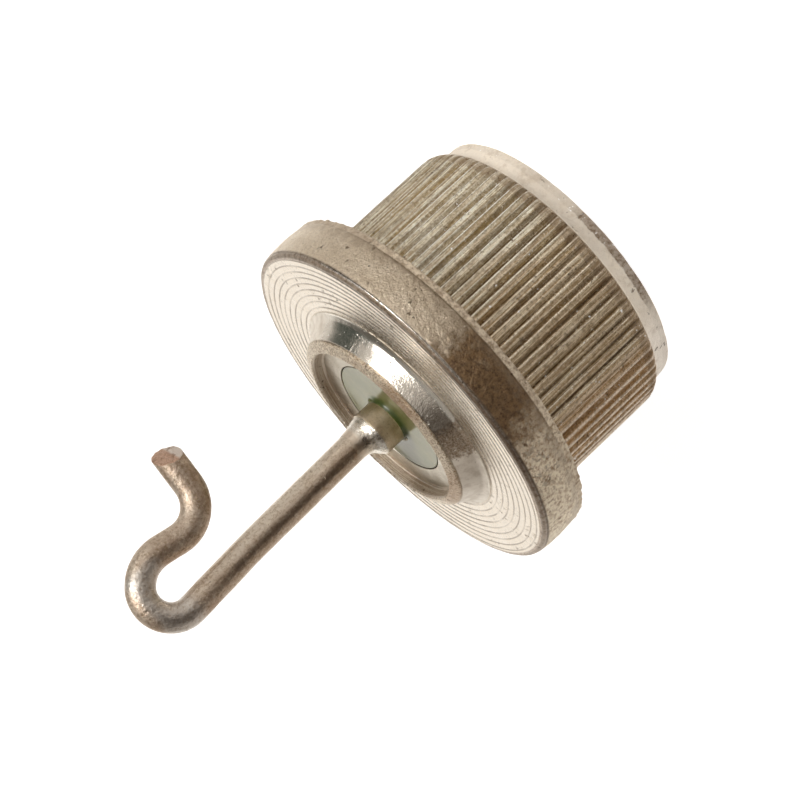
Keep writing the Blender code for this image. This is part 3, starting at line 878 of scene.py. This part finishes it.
def cut_copper():
    """The wire's snipped end, dragged by the cutter."""
    cut = Material("snipped_copper")
    grain = cut.noise(18.0, detail=4.0, rough=0.6)
    drag = cut.streaks(cut.x * 30.0, cut.y * 4.0, cut.z * 30.0, detail=2.0, rough=0.5)
    cut.colour = cut.mix(grain.ramp(0.3, 0.7), (0.48, 0.30, 0.21), (0.78, 0.56, 0.44))
    # tin smeared over the lower side by the cutter's jaw
    smear = (cut.z + (grain - 0.5) * 0.10).ramp(16.80, 16.66)
    cut.paint(smear * 0.85, (0.86, 0.80, 0.75))
    pinch = cut.noise(3.1, detail=3.0, rough=0.6, w=5.0).ramp(0.55, 0.64)
    cut.paint(pinch * 0.6, (0.30, 0.17, 0.11))
    normal = cut.bump(grain, 0.012, cut.bump(drag, 0.02))
    return cut.done(grain.ramp(0.3, 0.7, to=(0.32, 0.5), soft=False), normal)


def silicone():
    rubber = Material("milky_silicone")
    cloud = rubber.noise(1.6, detail=3.0, rough=0.55)
    rubber.colour = rubber.mix(cloud.ramp(0.3, 0.7), (0.58, 0.55, 0.48), (0.74, 0.72, 0.66))
    normal = rubber.bump(rubber.noise(2.6, detail=3.0), 0.05)
    return rubber.done(cloud.ramp(0.3, 0.7, to=(0.34, 0.5)), normal, metallic=0.0,
                       Subsurface_Weight=0.4, Subsurface_Scale=0.0008)


def silicon_wafer():
    """Dark polished wafer with a greyer, rougher side."""
    wafer = Material("silicon_wafer")
    grain = wafer.noise(30.0, detail=3.0, rough=0.6)
    cloud = wafer.noise(0.8)
    wafer.colour = wafer.mix(cloud.ramp(0.3, 0.7), (0.13, 0.14, 0.18), (0.24, 0.25, 0.30))
    side = wafer.radius.ramp(1.98, 2.10)
    wafer.paint(side * 0.6, (0.34, 0.35, 0.37))
    rough = grain.ramp(0.3, 0.7, to=(0.10, 0.2)) + side * 0.25
    return wafer.done(rough, wafer.bump(grain, 0.004), metallic=0.75)


PLATE = plated_metal()
RING_STEEL = simple_metal(
    "header_ring_plate", dark=(0.58, 0.52, 0.43), light=(0.84, 0.79, 0.70), rough=(0.26, 0.42),
    grain_scale=14.0, relief=0.014, blotch_scale=1.0, brush=rings_about, spots=0.2)
TUBE_METAL = simple_metal(
    "tube_plate", dark=(0.60, 0.505, 0.36), light=(0.86, 0.78, 0.65), rough=(0.28, 0.42),
    grain_scale=12.0, relief=0.012, blotch_scale=1.6, brush=bands_up, spots=0.3)
GLASS = seal_glass()
SOLDER = solder_metal()
WIRE = tinned_wire()
CUT = cut_copper()
WASHER_METAL = simple_metal(
    "soft_washer_metal", dark=(0.26, 0.26, 0.27), light=(0.46, 0.45, 0.45), rough=(0.42, 0.6),
    grain_scale=10.0, relief=0.02, blotch_scale=1.3, brush=rings_about, spots=0.3)
COPPER = simple_metal(
    "drawn_copper", dark=(0.62, 0.28, 0.16), light=(0.86, 0.48, 0.32), rough=(0.22, 0.36),
    grain_scale=14.0, relief=0.010, blotch_scale=1.4, brush=bands_up, spots=0.2)
MOLY = simple_metal(
    "lapped_molybdenum", dark=(0.34, 0.35, 0.37), light=(0.54, 0.55, 0.57), rough=(0.28, 0.42),
    grain_scale=22.0, relief=0.008, blotch_scale=1.0, brush=rings_about, spots=0.15)
PREFORM = simple_metal(
    "solder_preform", dark=(0.44, 0.43, 0.42), light=(0.70, 0.69, 0.67), rough=(0.24, 0.40),
    grain_scale=9.0, relief=0.02, blotch_scale=2.0, spots=0.25)
SILICONE = silicone()
SILICON = silicon_wafer()


# =============================================================================
# pieces
# =============================================================================
def piece(body, node, slot):
    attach(body, "root")
    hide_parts(node)


# ---- the cup ----------------------------------------------------------------
# the flange's upper corner: first and last slope in degrees, steps, length of the stretch
CORNER = [(3, 38, 7, 0.225), (43, 66, 6, 0.050), (70, 84, 6, 0.20)]
CORNER_SLOPE = np.radians(np.concatenate([np.linspace(a, b, n) for a, b, n, _ in CORNER]))
CORNER_ARC = np.concatenate([np.full(n, length / n) for _, _, n, length in CORNER])
CORNER_OUT = np.cumsum(CORNER_ARC * np.cos(CORNER_SLOPE))
CORNER_DOWN = np.cumsum(CORNER_ARC * np.sin(CORNER_SLOPE))
FACE_INNER, FACE_OUTER = 4.92, 7.752 - CORNER_OUT[-1]


def cup_inside(rings):
    """Floor, wall, ledge and the pocket for the header."""
    inside = fillet([
        (0.6, CAVITY_FLOOR, 0), (3.45, CAVITY_FLOOR, 0.15), (3.45, 8.26, 0.02),
        (4.0, 8.26, 0.04), (4.0, HEADER_TOP + 0.004, 0.02), (3.60, HEADER_TOP + 0.006, 0)],
        segments=3)
    rings.pole(CAVITY_FLOOR)
    rings.profile(densify(inside, 0.7), 120)


def cup_neck(rings):
    """Lip and neck."""
    neck = fillet([
        (3.50, HEADER_TOP + 0.006, 0), (3.52, HEADER_TOP + 0.016, 0.01),
        (3.61, HEADER_TOP + 0.035, 0.08), (3.66, HEADER_TOP + 0.15, 0.10), (3.655, 9.88, 0.08),
        (3.73, LIP_TOP - 0.004, 0.05), (4.12, 9.84, 0.12), (4.215, 9.70, 0.12),
        (4.46, 9.27, 0.4), (4.62, 9.03, 0.35), (4.80, 8.925, 0.06), (4.875, 8.915, 0.02),
        (4.90, 8.885, 0)])

    def push(points, angle, radius, z, normals):
        lumps = 0.012 * noise(points, 4.6, 6, 2) * (z > 9.72)
        return 0.010 * noise(points, 1.3, 5, 2) + lumps
    rings.profile(densify(neck, 0.085), 270, push)


def cup_face(rings):
    """Flange face with the fine spiral left by the tool, and its dents."""
    radii = np.arange(FACE_INNER, FACE_OUTER - 0.01, FACE_PITCH / 9)

    def push(points, angle, radius, z, normals):
        phase = np.mod((radius - SPIRAL_START) / FACE_PITCH + angle / TAU, 1.0)
        depth = 0.80 + 0.40 * noise(points, 0.9, 11)
        groove = 0.014 * np.maximum(0.0, 1 - np.abs(phase - 0.5) / 0.20) ** 1.2
        groove = groove + 0.0025 * np.cos(TAU * phase * 3)
        fade = smooth(FACE_OUTER + 0.02, FACE_OUTER - 0.10, radius) \
            * smooth(FACE_INNER - 0.02, FACE_INNER + 0.08, radius)
        out = -groove * depth * fade + 0.004 * noise(points, 2.6, 12)
        for x, y, wide, drop in DENTS:
            away = (points[:, 0] - x) ** 2 + (points[:, 1] - y) ** 2
            out -= drop * np.exp(-away / wide ** 2)
        return out
    rings.profile(np.stack([radii, np.full(len(radii), FACE)], 1), 255, push, facing=(0.0, 1.0))


def cup_rim(rings):
    """Rounded upper edge and convex rim."""
    corner = np.stack([np.append(FACE_OUTER, FACE_OUTER + CORNER_OUT),
                       np.append(FACE, FACE - CORNER_DOWN)], 1)
    heights = np.linspace(FACE - CORNER_DOWN[-1], 7.10, 14)[1:]
    bulge = FLANGE_RADIUS - 0.010 - 0.040 * ((heights - 7.85) / 0.75) ** 2
    side = np.stack([np.minimum(bulge, FLANGE_RADIUS), heights], 1)

    def push(points, angle, radius, z, normals):
        near_edge = smooth(8.60, 8.72, z) * smooth(FACE_OUTER, FACE_OUTER + 0.05, radius)
        grain = 0.006 * noise(points, 3.2, 23, 2) + 0.004 * noise(points, 8.0, 22)
        return -0.006 + 0.009 * noise(points, 1.3, 21, 2) * (1 - 0.5 * near_edge) + grain
    rings.profile(np.concatenate([corner, side]), 405, push)


def cup_burr(rings):
    """Ragged lower lip of the flange, thrown up by the knurling wheel, and the seat face."""
    heights = np.linspace(RIM_FOOT, SEAT_FACE + 0.03, 8)
    radii = 7.735 - 0.05 * ((RIM_FOOT - heights) / 0.33) ** 1.5
    radii[0] = 7.738

    def push(points, angle, radius, z, normals):
        place = hoop(angle, 7.7, z * 0.6)
        chip = noise(place, 2.6, 31, 2)
        tear = noise(place * [1, 1, 0.4], 5.5, 32)
        # every tooth lifts its own chip where the wheel ran out
        lift = (0.5 + 0.5 * np.cos(TAU * (angle / TAU * TEETH - 0.25))) ** 2
        scallop = (0.030 + 0.014 * tear) * lift * smooth(6.96, 6.80, z) - 0.012
        crumbs = noise(place, 8.5, 33, 2)
        return (0.028 * chip + 0.024 * tear + 0.016 * crumbs + scallop) * smooth(7.09, 7.0, z)
    rings.profile(np.stack([radii, heights], 1), 675, push)
    rings.profile([(7.60, SEAT_FACE + 0.004), (7.1, SEAT_FACE), (6.52, SEAT_FACE)], 675)


def knurl_height(turn):
    """Lipped teeth, going over to plain rounded ones on the -X side."""
    phase = np.mod(turn * TEETH - TOOTH_SHIFT, 1.0)
    lipped = -np.interp(phase, np.append(TOOTH_PHASE, 1.0), np.append(TOOTH_DROP, TOOTH_DROP[0]))
    plain = -0.150 * (0.5 - 0.5 * np.cos(TAU * (turn * TEETH - PLAIN_SHIFT))) ** 0.8
    share = smooth(math.cos(math.radians(50)), math.cos(math.radians(36)), -np.cos(turn * TAU))
    return lipped * (1 - share) + plain * share


def cup_knurl(rings):
    """Knurl, running out over the shoulder."""
    shoulder_bottom, shoulder_height = 0.92, 0.60
    blend = 90                               # how tightly knurl and shoulder are blended
    heights = np.concatenate([[SEAT_FACE - 0.012, SEAT_FACE - 0.05],
                              np.linspace(6.60, 1.66, 13), np.linspace(1.56, 0.925, 10)])
    turn = ((np.arange(TEETH)[:, None] + TOOTH_PHASE[None, :] + TOOTH_SHIFT) / TEETH).ravel()
    angle = turn * TAU
    tooth = np.floor(turn * TEETH - TOOTH_SHIFT)
    count = len(turn)
    own = noise(np.stack([tooth * 3.7, np.zeros(count), np.full(count, 2.0)], 1), 1.0, 44)
    for z in heights:
        relief = knurl_height(turn) * (1.0 + 0.35 * own)
        place = hoop(angle, KNURL_RADIUS, z * 0.22)
        radius = KNURL_RADIUS - 0.008 + relief * (1.0 + 0.14 * noise(place, 1.1, 41)) \
            + 0.005 * noise(place, 3.4, 43) + 0.003 * noise(place * [1, 1, 8.0], 3.0, 42, 2)
        share = (z - shoulder_bottom) / shoulder_height
        if share < 1:
            shoulder = 6.02 + 0.385 * math.sqrt(max(0.0, 1 - (1 - max(share, 0.0)) ** 2))
            radius = -np.logaddexp(-radius * blend, -shoulder * blend) / blend
        radius = np.minimum(radius, KNURL_RADIUS)
        if z > SEAT_FACE - 0.02:
            radius = radius + 0.03
        rings.ring(hoop(angle, radius, z))


def cup_pilot(rings):
    """Pilot, its worn edge and the rear face."""
    pilot = fillet([(6.00, 0.905, 0), (PILOT_RADIUS, 0.86, 0.03),
                    (PILOT_RADIUS - 0.005, 0.07, 0.06), (5.91, 0.0, 0.05), (5.6, 0.0, 0)])

    def push(points, angle, radius, z, normals):
        # the lower edge is worn back most on the side away from +X
        start = 0.40 + 0.10 * noise(hoop(angle, 6, 0.0), 0.8, 53, 2)
        side = 0.35 + 0.65 * smooth(3.8, 0.6, points[:, 0])
        wear = np.clip((start - z) / 0.40, 0, 1) * (radius > 5.7)
        return 0.004 * noise(points, 2.0, 51, 2) \
            - wear * side * (0.034 + 0.014 * noise(points, 2.6, 52, 2))
    rings.profile(densify(pilot, 0.09), 330, push)

    def rear_push(points, angle, radius, z, normals):
        return -0.004 - 0.003 * np.cos(TAU * radius / 0.32) + 0.003 * noise(points, 1.5, 61, 2)
    radii = np.arange(5.5, 0.2, -0.20)
    rings.profile(np.stack([radii, np.zeros(len(radii))], 1), 120, rear_push,
                  facing=(0.0, -1.0))
    rings.pole(0.004)


cup = Rings()
for stretch in (cup_inside, cup_neck, cup_face, cup_rim, cup_burr, cup_knurl, cup_pilot):
    stretch(cup)
piece(cup.mesh("case_body", PLATE), "knurled_case", "plated_copper")


# ---- header: ring, glass and tube ---------------------------------------------
def square_ring(inner, outer, bottom, top, start, roundings, segments=4):
    """A loop with four rounded corners that begins at radius start on its top face."""
    corners = [(outer, top), (outer, bottom), (inner, bottom), (inner, top)]
    rounded = [(*corner, rounding) for corner, rounding in zip(corners, roundings)]
    return fillet([(start, top, 0), *rounded, (start, top, 0)], segments)


def build_header_ring():
    profile = square_ring(2.63, HEADER_RADIUS, HEADER_BOTTOM, HEADER_TOP, start=3.3,
                          roundings=(0.05, 0.05, 0.10, 0.03))
    return turned("header_ring_body", densify(profile, 0.12)[:-1], 192, RING_STEEL,
                  lambda points, *_: 0.004 * noise(points, 1.8, 71, 2), closed=True)


def build_glass():
    """The seal, with its meniscus creeping up the tube."""
    bore, creep = TUBE_RADIUS + 0.012, 0.20
    profile = [(bore, HEADER_TOP + 0.128)]
    for k in range(9):
        angle = math.radians(180 + 90 * (k + 0.5) / 9)
        profile.append((bore + creep + creep * math.cos(angle),
                        HEADER_TOP + 0.185 + creep * math.sin(angle)))
    for radius in np.linspace(TUBE_RADIUS + 0.34, GLASS_RADIUS - 0.06, 12):
        share = (radius - TUBE_RADIUS) / (GLASS_RADIUS - TUBE_RADIUS)
        profile.append((radius, HEADER_TOP - 0.016 - 0.012 * math.sin(math.pi * share)))
    profile += [
        (GLASS_RADIUS - 0.02, HEADER_TOP - 0.012), (GLASS_RADIUS - 0.004, HEADER_TOP - 0.03),
        (GLASS_RADIUS - 0.004, GLASS_BOTTOM + 0.14), (GLASS_RADIUS - 0.2, GLASS_BOTTOM + 0.08),
        (TUBE_RADIUS + 0.15, GLASS_BOTTOM + 0.08), (bore, GLASS_BOTTOM + 0.01), profile[0]]
    return turned("glass_body", densify(profile, 0.14)[:-1], 128, GLASS,
                  lambda points, *_: 0.003 * noise(points, 1.2, 81, 2), closed=True)


def build_tube():
    profile = square_ring(0.83, TUBE_RADIUS, TUBE_BOTTOM, TUBE_TOP, start=0.90,
                          roundings=(0.03,) * 4, segments=3)
    return turned("tube_body", densify(profile, 0.10)[:-1], 96, TUBE_METAL,
                  lambda points, *_: 0.004 * noise(points, 2.2, 91, 2), closed=True)


piece(build_header_ring(), "header_ring", "header_steel")
piece(build_glass(), "glass_seal", "seal_glass")
piece(build_tube(), "terminal_tube", "terminal_tube")


# ---- outside lead ---------------------------------------------------------------
def lead_path():
    pen = Pen(WIRE_FOOT_X, 9.32).straight(0.82)
    pen.jump(WIRE_X, TUBE_TOP + 0.04, heading=-1.45)
    pen.straight(6.03).bend(27.0, -1.9).straight(2.80)
    pen.bend(1.14, 131.0).bend(1.62, 63.0).straight(0.83).bend(1.48, -94.5).straight(1.26)
    path = pen.path()
    # a bent wire has no sudden change of curvature
    for _ in range(6):
        path[1:-1] = 0.25 * path[:-2] + 0.5 * path[1:-1] + 0.25 * path[2:]
    return path


def snip(side, across):
    """How far the cut end stands forward: a slanted face, longer towards +Y,
    with rolled edges, a small pinched burr and a hollow beside it."""
    out = 0.66 * across - 0.09 * side + 0.09
    share = np.hypot(side, across) / WIRE_RADIUS
    out -= 0.030 * np.clip((share - 0.86) / 0.14, 0, 1) ** 2
    out += 0.085 * np.exp(-((side - 0.30) / 0.17) ** 2 - ((across - 0.27) / 0.09) ** 2)
    out -= 0.100 * np.exp(-((side - 0.24) / 0.10) ** 2 - ((across - 0.07) / 0.06) ** 2)
    out += 0.030 * np.exp(-((side + 0.20) / 0.10) ** 2) * (across < 0.2)
    out += 0.012 * np.sin(side * 21 + 9 * across)
    return out


def build_lead():
    columns = 48
    end_shells = (0.975, 0.93, 0.86, 0.78, 0.7, 0.6, 0.5, 0.4, 0.3, 0.2, 0.1)
    path = lead_path()
    frames = Frames(path)
    forward = frames.forward[-1]
    angle = angles(columns)
    cosine, sine = np.cos(angle), np.sin(angle)
    side, across = WIRE_RADIUS * cosine, WIRE_RADIUS * sine
    steps = np.linalg.norm(np.diff(path, axis=0), axis=1)
    length = np.concatenate([[0], np.cumsum(steps)])
    rings = Rings()
    rings.ring(path[0])
    for share in (0.6, 0.95):
        rings.ring(frames.section(0, share * side, share * across))
    for i in range(len(path)):
        points = frames.section(i, side, across)
        normals = frames.side[i] * cosine[:, None] + frames.across[i] * sine[:, None]
        dents = 0.010 * noise(points, 1.1, 101, 2) + 0.004 * noise(points, 4.0, 102, 2)
        # the last stretch follows the slant of the cut
        fade = smooth(length[-1] - 1.2 * WIRE_RADIUS, length[-1], length[i])
        rings.ring(points + normals * dents[:, None]
                   + forward * (snip(side, across) * fade)[:, None])
    for share in (*end_shells, 0.0):
        if share:
            u, v = share * side, share * across
        else:
            u = v = np.zeros(1)
        rings.ring(frames.section(-1, u, v) + forward * snip(u, v)[:, None])
    body = rings.mesh("lead_body", WIRE, CUT, flip=True, sharp=38)
    # the snipped face is bare copper: the last faces made
    index = np.zeros(len(body.data.polygons), np.int32)
    index[-columns * (len(end_shells) + 1):] = 1
    body.data.polygons.foreach_set("material_index", index)
    return body


piece(build_lead(), "lead_wire", "tinned_wire")

# ---- solder in the tube's mouth ---------------------------------------------------
# outside, from the top down: radius, z, share of the wire's offset
SOLDER_OUTSIDE = np.array([
    (0.604, TUBE_TOP + 0.90, 1.0), (0.612, TUBE_TOP + 0.80, 1.0), (0.628, TUBE_TOP + 0.66, 1.0),
    (0.655, TUBE_TOP + 0.52, 0.95), (0.70, TUBE_TOP + 0.38, 0.85), (0.765, TUBE_TOP + 0.26, 0.6),
    (0.85, TUBE_TOP + 0.15, 0.3), (0.905, TUBE_TOP + 0.06, 0.1), (0.935, TUBE_TOP + 0.01, 0.0),
    (0.90, TUBE_TOP, 0.0), (0.822, TUBE_TOP - 0.02, 0.0), (0.822, TUBE_TOP - 0.6, 0.0),
    (0.822, 9.0, 0.0), (0.822, 8.62, 0.0), (0.74, 8.56, 0.0)])


def build_solder():
    """A sleeve in the tube with a lumpy fillet climbing the wire outside it."""
    axis_x, bore = 0.155, WIRE_RADIUS + 0.003
    angle = angles(96)
    rings = Rings()
    # the bore that holds the wire, upwards
    rings.ring((WIRE_FOOT_X, 0.0, 9.30))
    for z in (9.30, 9.9, TUBE_TOP - 0.2, TUBE_TOP + 0.1, TUBE_TOP + 0.5, TUBE_TOP + 0.78):
        x = WIRE_FOOT_X if z < 10.2 else WIRE_X - (z - TUBE_TOP) * 0.0253
        rings.ring(hoop(angle, bore, z, x))
    # the outside, downwards
    profile = densify(SOLDER_OUTSIDE[:, :2], 0.07)
    shift = np.interp(-profile[:, 1], -SOLDER_OUTSIDE[:, 1], SOLDER_OUTSIDE[:, 2])
    run = 0.16 * noise(hoop(angle, 1.2, 0.0), 1.0, 113, 2)
    for (radius, z), share in zip(profile, shift):
        points = hoop(angle, radius, z, axis_x * share)
        if z > TUBE_TOP + 0.005:
            fade = smooth(TUBE_TOP, TUBE_TOP + 0.2, z)
            thick = smooth(TUBE_TOP + 0.85, TUBE_TOP + 0.35, z)
            lump = (0.030 * noise(points, 2.1, 111, 2) + 0.010 * noise(points, 6.0, 112)) * thick
            points = points + hoop(angle, 1.0, 0.0) * (lump * fade)[:, None]
            points[:, 2] += run * smooth(TUBE_TOP + 0.1, TUBE_TOP + 1.0, points[:, 2])
            if z > TUBE_TOP + 0.5:
                # never thinner than the wire
                reach = np.hypot(points[:, 0] - axis_x, points[:, 1])
                grow = np.maximum(1.0, bore / np.maximum(reach, 1e-6))
                points[:, 0] = axis_x + (points[:, 0] - axis_x) * grow
                points[:, 1] = points[:, 1] * grow
        rings.ring(points)
    # lower face, and the bore that takes the inside lead
    for radius, z in [(0.62, 8.55), (0.43, 8.57), (0.42, 8.62), (0.42, 9.02)]:
        rings.ring(hoop(angle, radius, z))
    rings.pole(9.03)
    return rings.mesh("solder_body", SOLDER, sharp=50)


piece(build_solder(), "lead_solder", "solder")


# ---- inside lead --------------------------------------------------------------------
def build_inner_lead():
    """Nail head and bent stem in one skin: the head's top runs up into the stem."""
    _, bottom, top = extent("inner_lead")
    pen = Pen(0.0, bottom + 0.10).straight(0.19, step=0.03)
    for sweep in (62.0, -124.0, 62.0):
        pen.bend(0.50, sweep, step=0.03)
    pen.straight(top - pen.z, step=0.05)
    path = pen.path()
    frames = Frames(path)
    angle = angles(64)
    side, across = STEM_RADIUS * np.cos(angle), STEM_RADIUS * np.sin(angle)
    head = fillet([(0.4, bottom, 0), (1.30, bottom, 0.05), (1.30, bottom + 0.25, 0.06),
                   (0.55, bottom + 0.27, 0.10), (0.41, bottom + 0.40, 0)])
    # from the stem's top down to the head and under it
    rings = Rings()
    rings.ring(path[-1])
    for share in (0.5, 0.9, 0.98):
        rings.ring(frames.section(-1, share * side, share * across))
    for i in reversed(range(len(path))):
        if path[i, 2] > bottom + 0.46 or abs(path[i, 0]) > 0.05:
            rings.ring(frames.section(i, side, across))
    for radius, z in densify(head[::-1], 0.12):
        rings.ring(hoop(angle, radius, z))
    rings.pole(bottom)
    return rings.mesh("inner_lead_body", COPPER, sharp=50)


piece(build_inner_lead(), "inner_lead", "bare_copper")


# ---- the silicon stack --------------------------------------------------------------
def build_slug(node, material, edge, wobble, seed):
    """A thin round piece between its CAD limits, with broken edges and a wavy skin."""
    radius, bottom, top = extent(node)
    edge = min(edge, 0.3 * (top - bottom))
    profile = fillet([(0.0, top, 0), (radius, top, edge), (radius, bottom, edge),
                      (0.0, bottom, 0)])
    return turned(node + "_body", densify(profile, 0.16), 96, material,
                  lambda points, *_: -0.5 * wobble + 0.5 * wobble * noise(points, 1.7, seed, 2))


# slot, material, edge rounding, wobble
SOLDER_SLUG = ("solder", PREFORM, 0.02, 0.006)
DISC_SLUG = ("molybdenum", MOLY, 0.04, 0.003)
SLUGS = [("base_solder", SOLDER_SLUG), ("lower_disc", DISC_SLUG),
         ("die_solder_lower", SOLDER_SLUG), ("die_solder_upper", SOLDER_SLUG),
         ("upper_disc", DISC_SLUG), ("foot_solder", SOLDER_SLUG)]
for number, (node, (slot, material, edge, wobble)) in enumerate(SLUGS):
    piece(build_slug(node, material, edge, wobble, seed=201 + number), node, slot)


def build_die():
    """The silicon die, with a bevelled side."""
    radius, bottom, top = extent("silicon_die")
    profile = fillet([
        (0.0, top, 0), (radius - 0.20, top, 0.02), (radius - 0.12, bottom + 0.14, 0.05),
        (radius - 0.01, bottom + 0.06, 0.02), (radius - 0.01, bottom, 0.01), (0.0, bottom, 0)])
    return turned("silicon_die_body", densify(profile, 0.16), 96, SILICON,
                  lambda points, *_: 0.0008 * noise(points, 2.0, 211))


def build_washer():
    radius, bottom, top = extent("seal_washer")
    profile = square_ring(3.51, radius, bottom, top, start=3.7, roundings=(0.03,) * 4)
    return turned("seal_washer_body", densify(profile, 0.06)[:-1], 192, WASHER_METAL,
                  lambda points, *_: -0.002 + 0.002 * noise(points, 3.0, 221, 2), closed=True)


def build_coating():
    """Silicone bead round the die, lumpy only where it faces outwards."""
    _, bottom, top = extent("junction_coating")
    profile = [(1.70, top - 0.03)]
    for k in range(15):
        angle = math.radians(80 - 78 * k / 14)
        profile.append((2.20 + 0.66 * math.cos(angle), 5.67 + 0.64 * math.sin(angle)))
    profile += [(2.83, 5.40), (2.76, bottom), (2.36, bottom), (2.335, 5.71), (2.185, 5.715),
                (2.175, 6.075), (1.70, 6.085), profile[0]]

    def push(points, angle, radius, z, normals):
        outward = normals[:, 0] * points[:, 0] + normals[:, 1] * points[:, 1] > 0
        return 0.010 * noise(points, 1.4, 231, 2) * outward
    return turned("junction_coating_body", densify(profile, 0.08)[:-1], 96, SILICONE, push,
                  closed=True)


piece(build_die(), "silicon_die", "silicon")
piece(build_washer(), "seal_washer", "soft_metal")
piece(build_coating(), "junction_coating", "silicone_rubber")


# =============================================================================
# floor, light, camera (metres)
# =============================================================================
def build_floor():
    half = 3.0
    mesh = bpy.data.meshes.new("floor")
    mesh.from_pydata([(-half, -half, 0), (half, -half, 0), (half, half, 0), (-half, half, 0)],
                     [], [(0, 1, 2, 3)])
    floor = bpy.data.objects.new("floor", mesh)
    bpy.context.scene.collection.objects.link(floor)
    floor.location.z = -0.00001
    material = bpy.data.materials.new("pale_floor")
    material.use_nodes = True
    inputs = material.node_tree.nodes["Principled BSDF"].inputs
    for key, value in {"Base Color": (0.55, 0.55, 0.55, 1), "Roughness": 0.9,
                       "Specular IOR Level": 0.0, "Emission Color": (1, 1, 1, 1),
                       "Emission Strength": 0.86}.items():
        inputs[key].default_value = value
    mesh.materials.append(material)
    floor.visible_glossy = False


# surroundings, later ones over earlier: bearing, elevation, full and faded width, colour
WORLD_BASE = (0.58, 0.53, 0.475)
WORLD_LOBES = [
    (180, -5, 14, 60, (1.32, 1.28, 1.21)),           # pale backdrop behind
    (180, 80, 24, 56, (0.34, 0.32, 0.29)),           # unlit ceiling
    (0, -78, 20, 50, (0.18, 0.14, 0.10)),            # table's near side
    (-34, 6, 24, 52, (0.028, 0.018, 0.011)),         # dark room behind the camera
    (-58, 50, 12, 30, (0.05, 0.037, 0.026)),         # dark, high on the -X side
    (-118, 27, 8, 24, (0.24, 0.215, 0.185)),         # dim patch, -X and behind
    (108, 33, 13, 31, (0.07, 0.078, 0.066)),         # grey-green stand
    (145, 52, 8, 26, (0.12, 0.11, 0.095)),           # dim patch, +X and behind
    (44, 14, 7, 17, (1.2, 1.17, 1.1)),               # lamp's lower bounce
    (54, 50, 9, 16.5, (9.0, 8.75, 8.35)),            # soft lamp
]


def build_world():
    world = bpy.data.worlds.new("studio")
    bpy.context.scene.world = world
    world.use_nodes = True
    nodes = Nodes(world.node_tree)
    view = nodes.value("VectorMath", {0: nodes.value("TexCoord", {}, "Generated")},
                       operation='NORMALIZE')
    colour = WORLD_BASE
    for bearing, elevation, inner, outer, lobe_colour in WORLD_LOBES:
        turn, rise = math.radians(bearing), math.radians(elevation)
        toward = Vector((math.cos(rise) * math.sin(turn), -math.cos(rise) * math.cos(turn),
                         math.sin(rise))).normalized()
        lobe = nodes.dot(view, toward).ramp(math.cos(math.radians(outer)),
                                            math.cos(math.radians(inner)))
        colour = nodes.mix(lobe, colour, lobe_colour)
    # the camera sees a plain white backdrop
    seen = nodes.value("LightPath", {}, "Is Camera Ray")
    colour = nodes.mix(seen, colour, (1.0, 1.0, 1.0))
    background = nodes.value("Background", {"Color": colour, "Strength": 1.0})
    nodes.node("OutputWorld", {0: background})
    world.cycles.sampling_method = 'MANUAL'
    world.cycles.sample_map_resolution = 512


def build_key_light():
    light = bpy.data.lights.new("key", 'AREA')
    light.shape = 'DISK'
    light.size = 0.045
    light.energy = 0.045
    light.color = (1.0, 0.98, 0.95)
    key = bpy.data.objects.new("key", light)
    place, target = Vector((0.125, -0.092, 0.20)), Vector((0, 0, 0.009))
    key.location = place
    key.rotation_mode = 'QUATERNION'
    key.rotation_quaternion = (place - target).to_track_quat('Z', 'Y')
    bpy.context.scene.collection.objects.link(key)


# the flange face's centre seen from the camera: right, down, ahead, in millimetres
FACE_FROM_CAMERA = Vector((0.227882, 0.579360, 135.184068))
ROLL, TILT = math.radians(42.96), math.radians(73.22)   # TILT is from the piece's axis


def build_camera():
    """Rolled so that the lead's hook points down to the left."""
    data = bpy.data.cameras.new("camera")
    camera = bpy.data.objects.new("camera", data)
    bpy.context.scene.collection.objects.link(camera)
    data.sensor_fit = 'HORIZONTAL'
    data.sensor_width = 36.0
    data.lens = 160.10165
    data.clip_start, data.clip_end = 0.005, 10.0
    # the row's axes in the camera's terms: right, down, ahead
    row_x = Vector((-math.sin(ROLL), -math.cos(ROLL), 0.0))
    row_z = Vector((-math.cos(ROLL) * math.sin(TILT), math.sin(ROLL) * math.sin(TILT),
                    -math.cos(TILT)))
    axes = (row_x, row_z.cross(row_x), row_z)
    place = Vector([-FACE_FROM_CAMERA.dot(axis) for axis in axes]) * MM
    place += Vector((0, 0, FACE * MM))
    rows = [(axis.x, -axis.y, -axis.z, offset) for axis, offset in zip(axes, place)]
    camera.matrix_world = Matrix((*rows, (0, 0, 0, 1)))
    bpy.context.scene.camera = camera


build_floor()
build_world()
build_key_light()
build_camera()
bpy.context.scene.view_settings.view_transform = 'Standard'
bpy.context.scene.view_settings.look = 'None'

bpy.context.view_layer.update()
